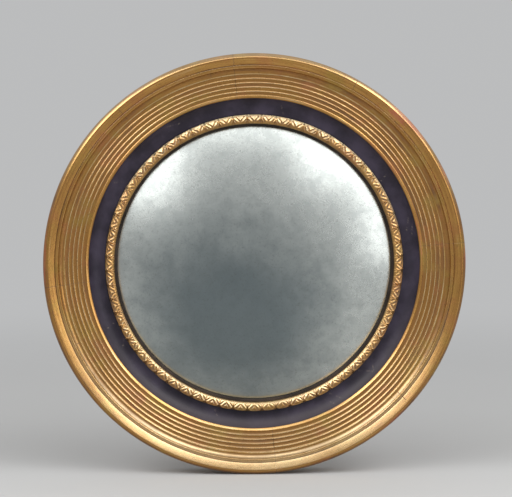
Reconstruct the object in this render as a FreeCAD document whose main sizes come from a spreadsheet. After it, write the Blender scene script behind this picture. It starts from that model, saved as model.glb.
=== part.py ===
"""A round convex mirror in a turned, gilt and ebonised wooden frame.

The wall is the plane y = 0 and the mirror looks towards -Y. +Z is up and the origin is the centre
of the frame on the wall. Each turned piece is drawn as a half section: x is the radius and y the
depth, measured from the wall towards the room. Its body is then turned about the X axis, which
sends that depth to -Y. Angles are counted anticlockwise from 3 o'clock, as seen from the room.
"""

import FreeCAD, Part
import math
import os
import Sketcher
from FreeCAD import Placement, Rotation, Vector

# ---------------------------------------------------------------------------- driving dimensions

SIZES = (
    # the glass
    ("glass_radius", 203.2, "half of a 16 inch convex plate"),
    ("glass_rise", 34.0, "how far its crown stands in front of its edge"),
    ("glass_thickness", 3.0, "plate thickness"),
    ("silver_thickness", 0.4, "silvering with its backing paint"),
    ("silver_margin", 2.0, "bare rim left by the silvering"),
    # radial widths of the frame, from the glass outwards
    ("sight_lap", 4.2, "slip's lip over the glass"),
    ("lip_width", 3.8, "black lip that shows inside the leaves"),
    ("leaf_width", 13.1, "leaf ornament"),
    ("cove_width", 24.0, "ebonised cove"),
    ("bevel_width", 3.8, "inward bevel before the flutes"),
    ("flute_pitch", 6.2, "from arris to arris"),
    ("flute_count", 5, "concave flutes"),
    ("hollow_width", 9.1, "outer hollow"),
    ("fillet_width", 3.9, "flat fillet"),
    ("quirk_width", 1.2, "narrow groove beside the thumb moulding"),
    ("thumb_width", 10.3, "thumb moulding up to its crest"),
    ("thumb_roll", 5.8, "radius of its roll over to the side"),
    # depths of the two layers
    ("stand_off", 9.0, "bumper height, from the wall to the carcase"),
    ("carcase_thickness", 24.0, "pine ring at the back"),
    # the front profile, from the carcase's front face upwards and outwards
    ("glass_seat", 4.6, "front edge of the glass above the carcase"),
    ("lip_thickness", 1.9, "lip at its sight edge"),
    ("lip_rise", 4.4, "from the sight edge up to the leaves"),
    ("cove_foot", 9.0, "cove's inner edge above the carcase"),
    ("cove_rise", 11.5, "from its inner to its outer edge"),
    ("cove_sag", 3.6, "depth of the cove below its chord"),
    ("bevel_step", 0.4, "from the cove up to the bevel"),
    ("bevel_rise", 2.1, "bevel up to the first arris"),
    ("arris_rise", 1.1, "from one arris to the next"),
    ("flute_depth", 1.7, "depth of a flute"),
    ("hollow_rise", 6.7, "from the last arris up to the fillet"),
    ("hollow_sag", 1.8, "depth of the outer hollow below its chord"),
    ("quirk_depth", 1.6, "depth of the narrow groove"),
    ("thumb_rise", 3.8, "from the fillet up to the crest of the thumb moulding"),
    # leaf strips
    ("leaves_per_quarter", 16, "leaves on one strip"),
    ("leaf_base", 1.2, "ground under the leaves"),
    ("leaf_height", 6.0, "leaf crest above its seat"),
    ("leaf_notch", 4.4, "gap between two leaf tips"),
    # side and back of the carcase
    ("side_recess", 3.2, "side inside the crest of the thumb moulding"),
    ("side_foot", 8.0, "plain foot of the moulding's side"),
    ("side_sag", 1.6, "depth of the side's hollow below its chord"),
    ("carcase_chamfer", 2.0, "rear outer edge"),
    ("bore_gap", 2.8, "carcase bore round the glass"),
    ("board_lap", 16.0, "backboard beyond the carcase bore"),
    ("board_thickness", 8.0, "backboard"),
    ("board_recess", 1.0, "backboard behind the carcase's rear face"),
    ("plank_half", 73.5, "half width of the middle plank"),
    ("plank_gap", 0.8, "shrinkage gap between planks"),
    # blocks behind the glass
    ("block_count", 8, "glazing blocks"),
    ("block_angle", 7.0, "arc of one block, in degrees"),
    ("block_width", 9.5, "block, radially"),
    ("block_depth", 11.0, "block, behind the carcase's front face"),
    # screws and pins
    ("screws_per_quarter", 3, "backboard screws in a carcase segment"),
    ("screw_radius", 2.0, "backboard screw, shank"),
    ("screw_head_radius", 4.0, "backboard screw, head"),
    ("screw_head_depth", 2.4, "countersunk part"),
    ("screw_bite", 11.0, "backboard screw in the carcase"),
    ("screw_inset", 7.7, "backboard screw from the backboard's edge"),
    ("slot_width", 1.0, "screwdriver slot"),
    ("slot_depth", 1.0, "screwdriver slot"),
    ("pins_per_quarter", 2, "brads through a carcase segment into the slip"),
    ("pin_radius", 0.9, "brad"),
    ("pin_head_radius", 1.8, "brad, head"),
    ("pin_head_depth", 0.8, "brad, head"),
    ("pin_bite", 6.0, "brad in the slip"),
    ("pin_inset", 4.0, "brad from the carcase bore"),
    # hanging hardware
    ("hanger_inset", 29.7, "hanger from the backboard's rebate"),
    ("hanger_angle", 50.0, "right hanger, in degrees"),
    ("plate_radius", 15.0, "brass plate"),
    ("plate_thickness", 1.5, "brass plate"),
    ("plate_bead", 0.5, "rounded rim of the plate"),
    ("plate_screw_circle", 9.5, "screws round the staple"),
    ("plate_screw_radius", 1.4, "hanger screw, shank"),
    ("plate_screw_head", 2.7, "hanger screw, head"),
    ("plate_screw_bite", 13.5, "hanger screw in the carcase"),
    ("ring_radius", 12.5, "hanging ring, to the middle of its wire"),
    ("ring_wire", 1.5, "hanging ring, wire radius"),
    ("ring_clear", 1.4, "between the hanging ring and the plate"),
    ("ring_play", 0.7, "round the ring's wire in the staple"),
    ("staple_wire", 0.8, "staple, wire radius"),
    # wall bumpers
    ("bumper_radius", 12.0, "cork disc"),
    ("bumper_edge", 1.0, "its worn edge"),
    ("bumper_inset", 35.7, "bumper from the backboard's rebate"),
    ("bumper_angle", -52.0, "right bumper, in degrees"),
    # where the glued joints lie
    ("moulding_joint", 6.0, "first joint of the moulding, in degrees"),
    ("carcase_joint", 30.0, "first joint of the carcase, in degrees"),
    # clearances
    ("fit_gap", 0.3, "between turned rings, and behind the glass"),
    ("glass_gap", 1.3, "slip's rebate round the glass"),
    ("film_gap", 0.1, "between the glass and its silvering"),
    ("screw_gap", 0.15, "round a shank in its hole"),
)

QUARTER = 90.0
HALF_TURN = 180.0
FULL_TURN = 360.0
EIGHTH = math.sqrt(0.5)  # how far an eighth of a turn reaches, for a radius of one
QUARTERS = 4
PLATE_SCREWS = 3

document = FreeCAD.newDocument("ConvexMirror")
sheet = document.addObject("Spreadsheet::Sheet", "Sizes")


class Size:
    """A length, known as a number and as the expression that binds it to the sheet."""

    def __init__(self, text, value):
        self.text = text
        self.value = value

    @staticmethod
    def of(other):
        return other if isinstance(other, Size) else Size(repr(other), other)

    def __add__(self, other):
        other = Size.of(other)
        return Size(f"({self.text} + {other.text})", self.value + other.value)

    def __sub__(self, other):
        other = Size.of(other)
        return Size(f"({self.text} - {other.text})", self.value - other.value)

    def __mul__(self, other):
        other = Size.of(other)
        return Size(f"({self.text} * {other.text})", self.value * other.value)

    def __truediv__(self, other):
        other = Size.of(other)
        return Size(f"({self.text} / {other.text})", self.value / other.value)

    def square_root(self):
        return Size(f"sqrt({self.text})", math.sqrt(self.value))

    def cosine(self):
        return Size(f"cos({self.text})", math.cos(math.radians(self.value)))

    def sine(self):
        return Size(f"sin({self.text})", math.sin(math.radians(self.value)))


for row, (alias, value, note) in enumerate(SIZES, start=1):
    sheet.set(f"A{row}", alias)
    sheet.set(f"B{row}", str(value))
    sheet.set(f"C{row}", note)
    sheet.setAlias(f"B{row}", alias)
document.recompute()

size = {alias: Size(f"<<Sizes>>.{alias}", float(sheet.get(alias))) for alias, _, _ in SIZES}
ZERO = Size("0", 0.0)

# ------------------------------------------------------------------------------ derived places

# radii, from the glass outwards
sight_radius = size["glass_radius"] - size["sight_lap"]
leaf_inner = sight_radius + size["lip_width"]
leaf_outer = leaf_inner + size["leaf_width"]
cove_outer = leaf_outer + size["cove_width"]
first_arris = cove_outer + size["bevel_width"]
hollow_inner = first_arris + size["flute_pitch"] * size["flute_count"]
fillet_inner = hollow_inner + size["hollow_width"]
quirk_inner = fillet_inner + size["fillet_width"]
thumb_inner = quirk_inner + size["quirk_width"]
thumb_crest = thumb_inner + size["thumb_width"]
overall_radius = thumb_crest + size["thumb_roll"]
side_radius = thumb_crest - size["side_recess"]
bore_radius = size["glass_radius"] + size["bore_gap"]
slip_bore = size["glass_radius"] + size["glass_gap"]
board_radius = bore_radius + size["board_lap"]
rebate_radius = board_radius + size["fit_gap"]
screw_circle = board_radius - size["screw_inset"]
pin_circle = bore_radius + size["pin_inset"]
hanger_circle = rebate_radius + size["hanger_inset"]
bumper_circle = rebate_radius + size["bumper_inset"]

# depths from the wall
carcase_back = size["stand_off"]
board_back = carcase_back + size["board_recess"]
board_front = board_back + size["board_thickness"]
carcase_front = carcase_back + size["carcase_thickness"]
glass_edge = carcase_front + size["glass_seat"]
plate_back = carcase_back - size["plate_thickness"]
ring_depth = plate_back - size["ring_clear"] - size["ring_wire"]

# the sphere of the glass: its radius from the chord and the rise, its centre on the axis
glass_sphere = size["glass_radius"] * size["glass_radius"] / size["glass_rise"] / 2 + size["glass_rise"] / 2
glass_crown = glass_edge + size["glass_rise"]
sphere_centre = glass_crown - glass_sphere
glass_back_sphere = glass_sphere - size["glass_thickness"]
silver_sphere = glass_back_sphere - size["film_gap"]
silver_back_sphere = silver_sphere - size["silver_thickness"]


def sphere_depth(sphere, radius):
    """Depth of a sphere about the glass's centre, at a distance from the axis."""
    return sphere_centre + (sphere * sphere - radius * radius).square_root()


lip_back = sphere_depth(glass_sphere, sight_radius) + size["fit_gap"]
lip_front = lip_back + size["lip_thickness"]
leaf_ground = lip_front + size["lip_rise"]

# screws and pins: (radius, depth) corners from the head to the tip, and where they stand
screw_steps = (
    (size["screw_head_radius"], board_back),
    (size["screw_radius"], board_back + size["screw_head_depth"]),
    (size["screw_radius"], board_front + size["screw_bite"]),
)
plate_screw_steps = (
    (size["plate_screw_head"], plate_back),
    (size["plate_screw_radius"], plate_back + size["plate_screw_head"] - size["plate_screw_radius"]),
    (size["plate_screw_radius"], carcase_back + size["plate_screw_bite"]),
)
pin_back = board_front
pin_head_seat = pin_back + size["pin_head_depth"]
pin_tip = carcase_front + size["pin_bite"]
pin_hole = size["pin_radius"] + size["screw_gap"]
screw_spacing = QUARTER / size["screws_per_quarter"].value
pin_spacing = QUARTER / size["pins_per_quarter"].value
first_screw = size["carcase_joint"].value + screw_spacing / 2
first_pin = size["carcase_joint"].value + pin_spacing / 2


def loose(steps):
    """The steps of a hole that clears a pin of these steps all round."""
    return [(radius + size["screw_gap"], depth) for radius, depth in steps]


# ------------------------------------------------------------------------------------- sketches


class Via:
    """The point that an arc between its two neighbours passes through."""

    def __init__(self, across, along):
        self.place = (across, along)


class Bow:
    """An arc of a given radius between its two neighbours, bulging away from the axis of turning."""

    def __init__(self, radius):
        self.radius = radius


def vector(place):
    return Vector(place[0].value, place[1].value, 0)


def plane_of(body, role):
    return next(item for item in body.Origin.OriginFeatures if item.Role == role)


def new_sketch(body, name, role="XY_Plane", turn=0.0, lift=None):
    """A sketch on one of the body's own planes, turned about its Y or lifted along its normal."""
    sketch = body.newObject("Sketcher::SketchObject", name)
    sketch.AttachmentSupport = [(plane_of(body, role), "")]
    sketch.MapMode = "FlatFace"
    sketch.AttachmentOffset = Placement(Vector(), Rotation(Vector(0, 1, 0), turn))
    if lift is not None:
        sketch.setExpression("AttachmentOffset.Base.z", (ZERO - lift).text)
    return sketch


def bind(sketch, kind, *where):
    """Adds a constraint whose last argument is a Size, and ties it to the sheet."""
    index = sketch.addConstraint(Sketcher.Constraint(kind, *where[:-1], where[-1].value))
    sketch.setExpression(f"Constraints[{index}]", where[-1].text)


def fix_point(sketch, geometry, end, place):
    bind(sketch, "DistanceX", -1, 1, geometry, end, place[0])
    bind(sketch, "DistanceY", -1, 1, geometry, end, place[1])


def bow_middle(start, finish, radius):
    """A point halfway along an arc of this radius, on the side where the depth grows."""
    chord = finish - start
    sag = radius - math.sqrt(radius**2 - (chord.Length / 2) ** 2)
    normal = Vector(-chord.y, chord.x, 0).normalize()
    if normal.y < 0:
        normal = -normal
    return (start + finish) * 0.5 + normal * sag


def outline(sketch, items):
    """Closed outline through corners (across, along), with arcs where a Via or a Bow stands."""
    count = len(items)
    edges = []
    for index, item in enumerate(items):
        if isinstance(item, (Via, Bow)):
            continue
        following = items[(index + 1) % count]
        is_arc = isinstance(following, (Via, Bow))
        target = items[(index + 2) % count] if is_arc else following
        start, finish = vector(item), vector(target)
        if not is_arc:
            edge = sketch.addGeometry(Part.LineSegment(start, finish))
            edges.append((edge, 1, 2, item))
            continue
        if isinstance(following, Via):
            middle = vector(following.place)
        else:
            middle = bow_middle(start, finish, following.radius.value)
        edge = sketch.addGeometry(Part.Arc(start, middle, finish))
        forward = (sketch.getPoint(edge, 1) - start).Length < (sketch.getPoint(edge, 2) - start).Length
        ends = (1, 2) if forward else (2, 1)
        edges.append((edge, *ends, item))
        if isinstance(following, Bow):
            bind(sketch, "Radius", edge, following.radius)
        else:
            point = sketch.addGeometry(Part.Point(middle), True)
            sketch.addConstraint(Sketcher.Constraint("PointOnObject", point, 1, edge))
            fix_point(sketch, point, 1, following.place)
    for position, (edge, first, last, place) in enumerate(edges):
        after = edges[(position + 1) % len(edges)]
        sketch.addConstraint(Sketcher.Constraint("Coincident", edge, last, after[0], after[1]))
        fix_point(sketch, edge, first, place)


def circle(sketch, place, radius):
    """A circle on the sketch's vertical axis, at a height above its origin."""
    edge = sketch.addGeometry(Part.Circle(Vector(0, place.value, 0), Vector(0, 0, 1), radius.value))
    sketch.addConstraint(Sketcher.Constraint("PointOnObject", edge, 3, -2))
    bind(sketch, "DistanceY", -1, 1, edge, 3, place)
    bind(sketch, "Radius", edge, radius)


def axis_line(sketch, start, finish):
    """A construction line, which a feature turns about."""
    line = sketch.addGeometry(Part.LineSegment(vector(start), vector(finish)), True)
    fix_point(sketch, line, 1, start)
    fix_point(sketch, line, 2, finish)


# ------------------------------------------------------------------------------------- features

pieces = []


def new_body(label, turn=0.0):
    """A body whose depth points to the room, turned about the mirror's axis by an angle."""
    body = document.addObject("PartDesign::Body", label)
    body.Label = label
    body.AllowCompound = True
    body.Placement = Placement(Vector(), Rotation(Vector(0, 1, 0), -turn) * Rotation(Vector(1, 0, 0), HALF_TURN))
    pieces.append(body)
    return body


def revolve(body, name, sketch, angle=FULL_TURN, axis="V_Axis", kind="Revolution"):
    feature = body.newObject(f"PartDesign::{kind}", name)
    feature.Profile = sketch
    feature.ReferenceAxis = (sketch, [axis])
    if isinstance(angle, Size):
        feature.setExpression("Angle", angle.text)
    else:
        feature.Angle = angle
    body.Tip = feature
    return feature


def extrude(body, name, sketch, length, kind="Pad", reverse=False):
    feature = body.newObject(f"PartDesign::{kind}", name)
    feature.Profile = sketch
    feature.setExpression("Length", length.text)
    feature.Reversed = reverse
    body.Tip = feature
    return feature


def repeat(body, name, features, count, span=FULL_TURN):
    """Repeats features about the body's own depth axis, over a span that counts both ends."""
    pattern = body.newObject("PartDesign::PolarPattern", name)
    pattern.Originals = features
    pattern.Axis = (plane_of(body, "Y_Axis"), [""])
    pattern.Angle = span
    if isinstance(count, Size):
        pattern.setExpression("Occurrences", count.text)
    else:
        pattern.Occurrences = count
    body.Tip = pattern
    return pattern


def turned(label, items, angle=FULL_TURN, turn=0.0):
    """A piece turned on the lathe: a half section carried round the mirror's axis."""
    body = new_body(label, turn)
    section = new_sketch(body, f"{label}_section")
    outline(section, items)
    revolve(body, f"{label}_turning", section, angle)
    return body


def quarters(label, names, first_joint, items):
    """Four equal segments that meet at glued joints."""
    return [
        turned(f"{label}_{name}", items, QUARTER, first_joint.value + QUARTER * index)
        for index, name in enumerate(names)
    ]


def stepped_round(body, name, circle_radius, steps, kind, turn=0.0):
    """A pin (Revolution) or a hole (Groove) along the depth axis, at a distance from the mirror's
    axis and an angle about it. Steps are its (radius, depth) corners from one end to the other."""
    sketch = new_sketch(body, f"{name}_section", turn=turn)
    first, last = steps[0][1], steps[-1][1]
    corners = [(circle_radius, first)]
    corners += [(circle_radius + radius, depth) for radius, depth in steps]
    corners += [(circle_radius, last)]
    outline(sketch, corners)
    axis_line(sketch, (circle_radius, first), (circle_radius, last))
    return revolve(body, name, sketch, axis="Axis0", kind=kind)


def hole(body, name, turn, circle_radius, steps):
    """Cuts a stepped round hole."""
    return stepped_round(body, name, circle_radius, steps, "Groove", turn)


# ------------------------------------------------------------------- front: moulding, cove, slip


def sagging(start, finish, sag):
    """The deepest point of a hollow: the chord's middle, moved square to the chord."""
    across, along = finish[0] - start[0], finish[1] - start[1]
    length = (across * across + along * along).square_root()
    return Via(
        (start[0] + finish[0]) / 2 + along * sag / length,
        (start[1] + finish[1]) / 2 - across * sag / length,
    )


def moulding_section():
    """Gilt moulding: bevel, flutes, outer hollow, fillet, quirk, thumb moulding and hollow side."""
    bevel_foot = cove_outer_edge[1] + size["bevel_step"]
    first_height = bevel_foot + size["bevel_rise"]
    items = [(cove_outer, carcase_front), (cove_outer, bevel_foot)]
    for index in range(int(size["flute_count"].value)):
        arris = (
            first_arris + size["flute_pitch"] * index,
            first_height + size["arris_rise"] * index,
        )
        valley = Via(
            arris[0] + size["flute_pitch"] / 2,
            arris[1] + size["arris_rise"] / 2 - size["flute_depth"],
        )
        items += [arris, valley]
    last_arris = (hollow_inner, first_height + size["arris_rise"] * size["flute_count"])
    fillet = last_arris[1] + size["hollow_rise"]
    crest = fillet + size["thumb_rise"]
    shoulder = (fillet_inner, fillet)
    roll_centre = crest - size["thumb_roll"]
    under_roll = roll_centre - size["thumb_roll"]
    foot = (side_radius, carcase_front + size["side_foot"])
    items += [
        last_arris,
        sagging(last_arris, shoulder, size["hollow_sag"]),
        shoulder,
        (quirk_inner, fillet),
        (quirk_inner, fillet - size["quirk_depth"]),
        (thumb_inner, fillet - size["quirk_depth"]),
        (thumb_inner, fillet),
        Via(thumb_inner + size["thumb_width"] / 2, crest - (crest - fillet) / 4),
        (thumb_crest, crest),
        Via(thumb_crest + size["thumb_roll"] * EIGHTH, roll_centre + size["thumb_roll"] * EIGHTH),
        (overall_radius, roll_centre),
        Via(
            overall_radius - size["thumb_roll"] * (1 - EIGHTH),
            roll_centre - size["thumb_roll"] * EIGHTH,
        ),
        (thumb_crest, under_roll),
        sagging((thumb_crest, under_roll), foot, size["side_sag"]),
        foot,
        (side_radius, carcase_front),
    ]
    return items


cove_inner_edge = (leaf_outer + size["fit_gap"], carcase_front + size["cove_foot"])
cove_outer_edge = (cove_outer - size["fit_gap"], cove_inner_edge[1] + size["cove_rise"])
quarters(
    "moulding",
    ("upper_right", "upper_left", "lower_left", "lower_right"),
    size["moulding_joint"],
    moulding_section(),
)
turned(
    "ebonised_cove",
    [
        (cove_inner_edge[0], carcase_front),
        cove_inner_edge,
        sagging(cove_inner_edge, cove_outer_edge, size["cove_sag"]),
        cove_outer_edge,
        (cove_outer_edge[0], carcase_front),
    ],
)

sight_slip = turned(
    "sight_slip",
    [
        (sight_radius, lip_back),
        (sight_radius, lip_front),
        Via(
            sight_radius + size["lip_width"] * (1 - EIGHTH),
            lip_front + (leaf_ground - lip_front) * EIGHTH,
        ),
        (leaf_inner, leaf_ground),
        (leaf_outer, leaf_ground),
        (leaf_outer, carcase_front),
        (slip_bore, carcase_front),
        (slip_bore, lip_back),
    ],
)
slip_hole = hole(
    sight_slip,
    "slip_pin_hole",
    first_pin,
    pin_circle,
    [(pin_hole, carcase_front - size["screw_gap"]), (pin_hole, pin_tip + size["screw_gap"])],
)
repeat(sight_slip, "slip_pin_holes", [slip_hole], size["pins_per_quarter"] * QUARTERS)

# ---------------------------------------------------------------------------------- leaf strips


def leaf_strip(label, turn):
    """A quarter of the leaf ornament: a domed band, cut into leaves by notches between their tips."""
    crest = leaf_ground + size["leaf_height"]
    ground = leaf_ground + size["leaf_base"]
    middle = leaf_inner + size["leaf_width"] / 2
    body = turned(
        label,
        [
            (leaf_inner, leaf_ground),
            (leaf_inner, ground),
            Via(middle, crest),
            (leaf_outer, ground),
            (leaf_outer, leaf_ground),
        ],
        QUARTER,
        turn,
    )
    pitch = QUARTER / size["leaves_per_quarter"].value
    notch = new_sketch(body, f"{label}_notch_outline", "XY_Plane", pitch / 2)
    tip = leaf_outer + size["fit_gap"]
    outline(notch, [(middle, crest + size["fit_gap"]), (tip, ground), (tip, crest + size["fit_gap"])])
    cut = extrude(body, f"{label}_notch", notch, size["leaf_notch"], "Pocket")
    cut.Midplane = True
    repeat(body, f"{label}_notches", [cut], size["leaves_per_quarter"], QUARTER - pitch)


for index in range(QUARTERS):
    leaf_strip(f"leaf_strip_{index + 1}", QUARTER * index)

# ----------------------------------------------------------------------------- glass and silver


def shell_of_sphere(label, front_sphere, back_sphere, rim_radius):
    """A domed plate between two spheres about one centre, with a rim square to them."""
    front_rim = (rim_radius, sphere_depth(front_sphere, rim_radius))
    back_rim = (
        rim_radius * back_sphere / front_sphere,
        sphere_centre + (front_rim[1] - sphere_centre) * back_sphere / front_sphere,
    )
    turned(
        label,
        [
            (ZERO, sphere_centre + front_sphere),
            Bow(front_sphere),
            front_rim,
            back_rim,
            Bow(back_sphere),
            (ZERO, sphere_centre + back_sphere),
        ],
    )


shell_of_sphere("mirror_glass", glass_sphere, glass_back_sphere, size["glass_radius"])
shell_of_sphere("silvering", silver_sphere, silver_back_sphere, size["glass_radius"] - size["silver_margin"])

# ----------------------------------------------------------------------------- carcase and back


def hanger_holes(body, start):
    """Holes for the hanger screws that enter one carcase segment, which starts at an angle."""
    ring_of_screws = size["plate_screw_circle"]
    shank = plate_screw_steps[-1][0] + size["screw_gap"]
    tip = plate_screw_steps[-1][1] + size["screw_gap"]
    head = loose(plate_screw_steps[:2])
    number = 0
    for hanger in (size["hanger_angle"], ZERO + HALF_TURN - size["hanger_angle"]):
        for index in range(PLATE_SCREWS):
            corner = QUARTER + FULL_TURN / PLATE_SCREWS * index
            across = hanger_circle * hanger.cosine() + ring_of_screws * Size.of(corner).cosine()
            along = hanger_circle * hanger.sine() + ring_of_screws * Size.of(corner).sine()
            angle = math.degrees(math.atan2(along.value, across.value))
            if not start < angle < start + QUARTER:
                continue
            number += 1
            distance = (across * across + along * along).square_root()
            name = f"{body.Label}_hanger_hole_{number}"
            hole(body, name, angle - start, distance, head + [(shank, tip)])


carcase_section = [
    (bore_radius, board_front),
    (bore_radius, carcase_front),
    (side_radius, carcase_front),
    (side_radius, carcase_back + size["carcase_chamfer"]),
    (side_radius - size["carcase_chamfer"], carcase_back),
    (rebate_radius, carcase_back),
    (rebate_radius, board_front),
]
carcase = quarters("carcase", ("top", "left", "bottom", "right"), size["carcase_joint"], carcase_section)
for index, body in enumerate(carcase):
    shank = size["screw_radius"] + size["screw_gap"]
    screw_hole = hole(
        body,
        f"{body.Label}_screw_hole",
        screw_spacing / 2,
        screw_circle,
        [(shank, board_front - size["screw_gap"]), (shank, screw_steps[-1][1] + size["screw_gap"])],
    )
    last_screw = QUARTER - screw_spacing
    repeat(body, f"{body.Label}_screw_holes", [screw_hole], size["screws_per_quarter"], last_screw)
    head = size["pin_head_radius"] + size["screw_gap"]
    brad_hole = hole(
        body,
        f"{body.Label}_pin_hole",
        pin_spacing / 2,
        pin_circle,
        [
            (head, pin_back - size["screw_gap"]),
            (head, pin_head_seat),
            (pin_hole, pin_head_seat),
            (pin_hole, carcase_front + size["screw_gap"]),
        ],
    )
    last_pin = QUARTER - pin_spacing
    repeat(body, f"{body.Label}_pin_holes", [brad_hole], size["pins_per_quarter"], last_pin)
    hanger_holes(body, size["carcase_joint"].value + QUARTER * index)

# -------------------------------------------------------------------------- blocks, screws, pins

block_outer = bore_radius - size["fit_gap"]
block_inner = block_outer - size["block_width"]
block_top = sphere_depth(silver_back_sphere, block_inner) - size["fit_gap"]
block_step = carcase_front - size["fit_gap"]
blocks = turned(
    "glazing_blocks",
    [
        (block_inner, carcase_front - size["block_depth"]),
        (block_inner, block_top),
        (size["glass_radius"], block_step),
        (block_outer, block_step),
        (block_outer, carcase_front - size["block_depth"]),
    ],
    size["block_angle"],
    first_pin - size["block_angle"].value / 2,
)
repeat(blocks, "glazing_blocks_round", [blocks.Tip], size["block_count"])


def slot(body, name, circle_radius, head_radius, back):
    """Screwdriver slot across a head that stands on the body's own X axis."""
    sketch = new_sketch(body, f"{name}_outline", "XZ_Plane", lift=back)
    near, far = circle_radius - head_radius * 2, circle_radius + head_radius * 2
    half = size["slot_width"] / 2
    outline(sketch, [(near, ZERO - half), (far, ZERO - half), (far, half), (near, half)])
    return extrude(body, name, sketch, size["slot_depth"], "Pocket")


def screws(label, steps, circle_radius, count, turn, slotted=True):
    """Like pins or screws in a circle, as separate solids of one piece of the parts list."""
    body = new_body(label, turn)
    made = [stepped_round(body, f"{label}_first", circle_radius, steps, "Revolution")]
    if slotted:
        made.append(slot(body, f"{label}_slot", circle_radius, steps[0][0], steps[0][1]))
    repeat(body, f"{label}_round", made, count)
    return body


screws(
    "backboard_screws",
    screw_steps,
    screw_circle,
    size["screws_per_quarter"] * QUARTERS,
    first_screw,
)
screws(
    "slip_pins",
    [
        (size["pin_head_radius"], pin_back),
        (size["pin_head_radius"], pin_head_seat),
        (size["pin_radius"], pin_head_seat),
        (size["pin_radius"], pin_tip),
    ],
    pin_circle,
    size["pins_per_quarter"] * QUARTERS,
    first_pin,
    slotted=False,
)

# ------------------------------------------------------------------------------------ backboard


def plank(label, turn, corners):
    """One plank of the backboard, with those of the round of screw holes that fall on it."""
    body = new_body(label, turn)
    sketch = new_sketch(body, f"{label}_outline", "XZ_Plane", lift=board_back)
    outline(sketch, corners)
    extrude(body, f"{label}_board", sketch, size["board_thickness"], reverse=True)
    steps = loose(screw_steps[:2])
    steps.append((steps[1][0], board_front + size["screw_gap"]))
    first = hole(body, f"{label}_hole", first_screw - turn, screw_circle, steps)
    repeat(body, f"{label}_holes", [first], size["screws_per_quarter"] * QUARTERS)


seam = size["plank_half"] + size["plank_gap"]
seam_end = (board_radius * board_radius - seam * seam).square_root()
edge_end = (board_radius * board_radius - size["plank_half"] * size["plank_half"]).square_root()
outer_plank = [(ZERO - seam_end, seam), Via(ZERO, board_radius), (seam_end, seam)]
plank("backboard_plank_top", HALF_TURN, outer_plank)
plank("backboard_plank_bottom", 0.0, outer_plank)
plank(
    "backboard_plank_middle",
    0.0,
    [
        (edge_end, ZERO - size["plank_half"]),
        Via(board_radius, ZERO),
        (edge_end, size["plank_half"]),
        (ZERO - edge_end, size["plank_half"]),
        Via(ZERO - board_radius, ZERO),
        (ZERO - edge_end, ZERO - size["plank_half"]),
    ],
)

# ---------------------------------------------------------------------- hanging hardware, bumpers


def stand_at(piece, circle_radius, angle, mirrored):
    """Moves a piece from the axis to its place on a circle, left or right of the centre."""
    across = circle_radius * angle.cosine()
    if mirrored:
        across = ZERO - across
    piece.setExpression("Placement.Base.x", across.text)
    piece.setExpression("Placement.Base.z", (circle_radius * angle.sine()).text)


def hanger_plate(label):
    """Round brass plate with a rounded rim and three countersunk holes."""
    bead = size["plate_bead"]
    body = turned(
        label,
        [
            (ZERO, plate_back),
            (size["plate_radius"] - bead, plate_back),
            Via(size["plate_radius"] - bead * (1 - EIGHTH), plate_back + bead * (1 - EIGHTH)),
            (size["plate_radius"], plate_back + bead),
            (size["plate_radius"], carcase_back),
            (ZERO, carcase_back),
        ],
    )
    steps = loose(plate_screw_steps[:2])
    steps.append((steps[1][0], carcase_back + size["screw_gap"]))
    first = hole(body, f"{label}_hole", QUARTER, size["plate_screw_circle"], steps)
    repeat(body, f"{label}_holes", [first], PLATE_SCREWS)
    return body


def staple(label):
    """Bent wire staple: a half ring round the hanging ring's wire, and two legs to the plate."""
    body = new_body(label)
    middle = size["ring_wire"] + size["ring_play"] + size["staple_wire"]
    bend = new_sketch(body, f"{label}_bend_wire")
    circle(bend, ring_depth - middle, size["staple_wire"])
    axis_line(bend, (ZERO, ring_depth), (middle, ring_depth))
    half_ring = revolve(body, f"{label}_bend", bend, HALF_TURN, "Axis0")
    half_ring.Midplane = True
    legs = new_sketch(body, f"{label}_leg_wires", "XZ_Plane", lift=ring_depth)
    circle(legs, middle, size["staple_wire"])
    circle(legs, ZERO - middle, size["staple_wire"])
    extrude(body, f"{label}_legs", legs, plate_back - ring_depth, reverse=True)
    return body


def hanging_ring(label, mirrored):
    """Plain wire ring that hangs in the staple, flat behind the carcase."""
    ring = document.addObject("Part::Torus", label)
    ring.Label = label
    ring.setExpression("Radius1", size["ring_radius"].text)
    ring.setExpression("Radius2", size["ring_wire"].text)
    ring.Placement = Placement(Vector(), Rotation(Vector(1, 0, 0), QUARTER))
    stand_at(ring, hanger_circle, size["hanger_angle"], mirrored)
    height = hanger_circle * size["hanger_angle"].sine() - size["ring_radius"]
    ring.setExpression("Placement.Base.y", (ZERO - ring_depth).text)
    ring.setExpression("Placement.Base.z", height.text)
    pieces.append(ring)


def bumper(label):
    """Cork disc that keeps the lower edge off the wall."""
    edge = size["bumper_edge"]
    return turned(
        label,
        [
            (ZERO, ZERO),
            (size["bumper_radius"] - edge, ZERO),
            (size["bumper_radius"], edge),
            (size["bumper_radius"], carcase_back),
            (ZERO, carcase_back),
        ],
    )


for side, mirrored in (("right", False), ("left", True)):
    hanging_ring(f"hanging_ring_{side}", mirrored)
    hanger = [
        hanger_plate(f"hanger_plate_{side}"),
        staple(f"hanger_staple_{side}"),
        screws(
            f"hanger_screws_{side}",
            plate_screw_steps,
            size["plate_screw_circle"],
            PLATE_SCREWS,
            QUARTER,
        ),
    ]
    for body in hanger:
        stand_at(body, hanger_circle, size["hanger_angle"], mirrored)
    stand_at(bumper(f"wall_bumper_{side}"), bumper_circle, size["bumper_angle"], mirrored)

# --------------------------------------------------------------------------- checks and export

document.recompute()
for item in document.Objects:
    faults = {"Invalid", "Error"} & {str(word) for word in item.State}
    if faults:
        raise RuntimeError(f"{item.Label} is {sorted(faults)}")

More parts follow.
